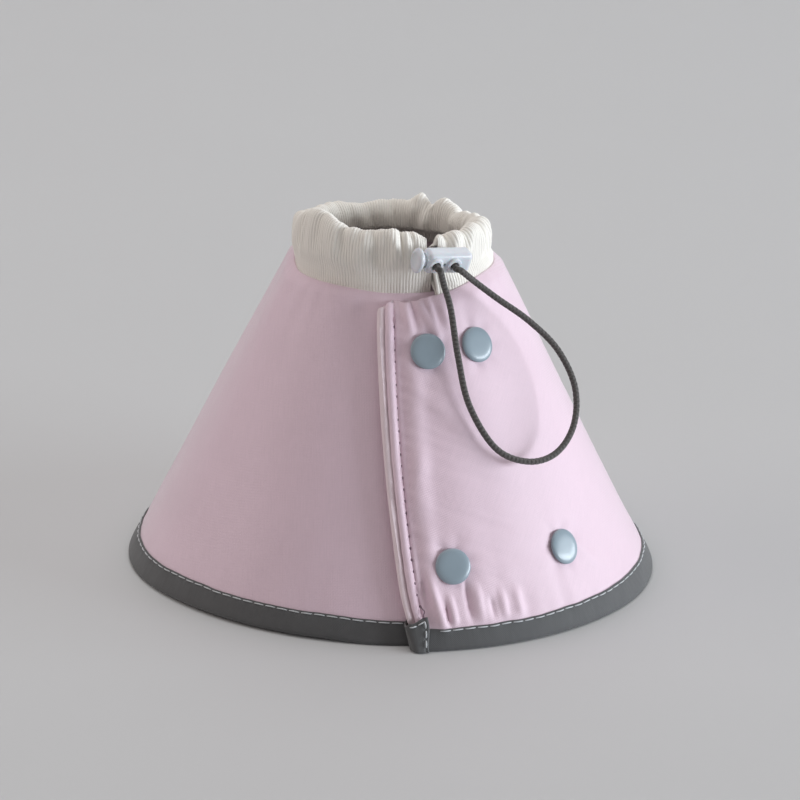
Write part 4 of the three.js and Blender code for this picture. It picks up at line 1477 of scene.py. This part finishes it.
def build_plunger():
    edge = [(0.0, 0.0), (3.1, 0.0), (3.95, 0.12), (4.4, 0.45), (4.6, 1.0), (4.45, 1.55),
            (4.05, 1.88), (3.2, 2.0), (0.0, 2.0)]
    head = lathe_along("X", [(radius, HEAD_FROM + along) for radius, along in edge])
    head.data.transform(Matrix.Diagonal((1, HEAD_DEPTH / HEAD_WIDTH, 1, 1)))
    dish = lathe_along("X", [(0, HEAD_FROM - 1), (2.9, HEAD_FROM - 1), (2.8, HEAD_FROM + 0.1),
                             (1.6, HEAD_FROM + 0.25), (0, HEAD_FROM + 0.3)])
    dish.data.transform(Matrix.Diagonal((1, HEAD_DEPTH / HEAD_WIDTH, 1, 1)))
    combined(head, dish, "DIFFERENCE")
    combined(head, lathe_along("X", rod(STEM_RADIUS, HEAD_TO - 1, STEM_END)), "UNION")
    for x in HOLES:
        middle = x - PLUNGER_TRAVEL / 2
        reach = HOLE_RADIUS + PLUNGER_TRAVEL / 2
        slot = rounded_block((middle - reach, -4, -STEM_SLOT / 2),
                             (middle + reach, 4, STEM_SLOT / 2), 0.3)
        combined(head, slot, "DIFFERENCE")
    finished_part(head, "cord_lock_button", "cord_lock_plunger", "plunger")


def build_spring():
    low, high = STEM_END + SPRING_GAP, BORE_END - SPRING_GAP
    points = []
    for part in np.linspace(0, 1, 32 * SPRING_COILS):
        angle = 2 * math.pi * SPRING_COILS * part
        points.append(Vector((low + (high - low) * part, SPRING_RADIUS * math.cos(angle),
                              SPRING_RADIUS * math.sin(angle))))
    spring = tube("cord_lock_coil", points, WIRE_RADIUS, STEEL, 10)
    spring.data.transform(lock_matrix())
    attach(spring, "cord_lock", ["cord_lock_spring"])
    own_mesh(spring)


build_wall()
build_binding()
build_tab()
build_stitches()
build_snaps()
build_cuff()
build_drawcord()
build_lock_body()
build_plunger()
build_spring()


# ---- Stage --------------------------------------------------------------------------------------

CAMERA_PITCH = math.radians(19.33)
CAMERA_ROLL = math.radians(1.87)
CAMERA_DISTANCE = 1.3
CAMERA_LENS = 163.5
SENSOR = 36
AIM_HEIGHT = 0.05
AIM_SHIFT = (0.0131, 0.0239)


def build_camera():
    forward = Vector((0, math.cos(CAMERA_PITCH), -math.sin(CAMERA_PITCH)))
    right = Vector((1, 0, 0))
    up = Vector((0, math.sin(CAMERA_PITCH), math.cos(CAMERA_PITCH)))
    across = right * math.cos(CAMERA_ROLL) + up * math.sin(CAMERA_ROLL)
    upright = up * math.cos(CAMERA_ROLL) - right * math.sin(CAMERA_ROLL)
    aim = Vector((AXIS[0] * MM, AXIS[1] * MM, AIM_HEIGHT))
    place = aim - forward * CAMERA_DISTANCE
    data = bpy.data.cameras.new("camera")
    data.lens = CAMERA_LENS
    data.sensor_width = SENSOR
    data.shift_x, data.shift_y = AIM_SHIFT
    camera = bpy.data.objects.new("camera", data)
    camera.matrix_world = Matrix((
        (across.x, upright.x, -forward.x, place.x),
        (across.y, upright.y, -forward.y, place.y),
        (across.z, upright.z, -forward.z, place.z),
        (0, 0, 0, 1),
    ))
    bpy.context.scene.collection.objects.link(camera)
    bpy.context.scene.camera = camera


# Metres: half the floor's width, its front edge, where it starts to curve up, how round, how high.
FLOOR_HALF_WIDTH = 4.0
FLOOR_FRONT = -3.0
FLOOR_END = 1.2
FLOOR_BEND = 0.6
FLOOR_BEND_STEPS = 12
BACKDROP_TOP = 3.0
FLOOR_COLOUR = (0.60, 0.60, 0.605)


def build_backdrop():
    """A pale floor that curves up into a wall far behind."""
    profile = [(FLOOR_FRONT, 0.0)]
    for angle in np.linspace(0, math.pi / 2, FLOOR_BEND_STEPS + 1):
        y = FLOOR_END + FLOOR_BEND * math.sin(angle)
        profile.append((y, FLOOR_BEND - FLOOR_BEND * math.cos(angle)))
    profile.append((FLOOR_END + FLOOR_BEND, BACKDROP_TOP))
    sides = (-FLOOR_HALF_WIDTH, FLOOR_HALF_WIDTH)
    points = [(x / MM, y / MM, z / MM) for y, z in profile for x in sides]
    faces = [(i, i + 1, i + 3, i + 2) for i in range(0, len(points) - 2, 2)]
    uvs = [(0, 0)] * len(points)
    make_mesh("studio_floor", points, faces, uvs, studio_floor("floor", FLOOR_COLOUR))


LIGHTS = (
    # name, place, aim, size, power, colour
    ("window", (2.25, -0.37, 0.3), (0, 0, 0.06), (1.95, 0.5), 51, (0.915, 1.0, 1.07)),
    ("fill", (-1.7, -0.15, 0.9), (0, 0, 0.05), (1.5, 1.5), 8.5, (1.0, 0.91, 0.87)),
    ("overhead", (0.0, 0.6, 2.0), (0, 0, 0), (2.4, 2.4), 21.5, (1, 1, 1)),
)
SKY_COLOUR = (0.82, 0.79, 0.78, 1)
SKY_STRENGTH = 0.32


def area_light(name, place, aim, size, power, colour):
    data = bpy.data.lights.new(name, "AREA")
    data.shape = "RECTANGLE"
    data.size, data.size_y = size
    data.energy = power
    data.color = colour
    light = bpy.data.objects.new(name, data)
    light.location = place
    light.rotation_euler = (Vector(aim) - Vector(place)).to_track_quat("-Z", "Y").to_euler()
    bpy.context.scene.collection.objects.link(light)


def build_lights():
    for light in LIGHTS:
        area_light(*light)
    world = bpy.data.worlds.new("studio")
    world.use_nodes = True
    background = world.node_tree.nodes["Background"]
    background.inputs["Color"].default_value = SKY_COLOUR
    background.inputs["Strength"].default_value = SKY_STRENGTH
    bpy.context.scene.world = world


build_camera()
build_backdrop()
build_lights()
bpy.context.scene.view_settings.view_transform = "Standard"
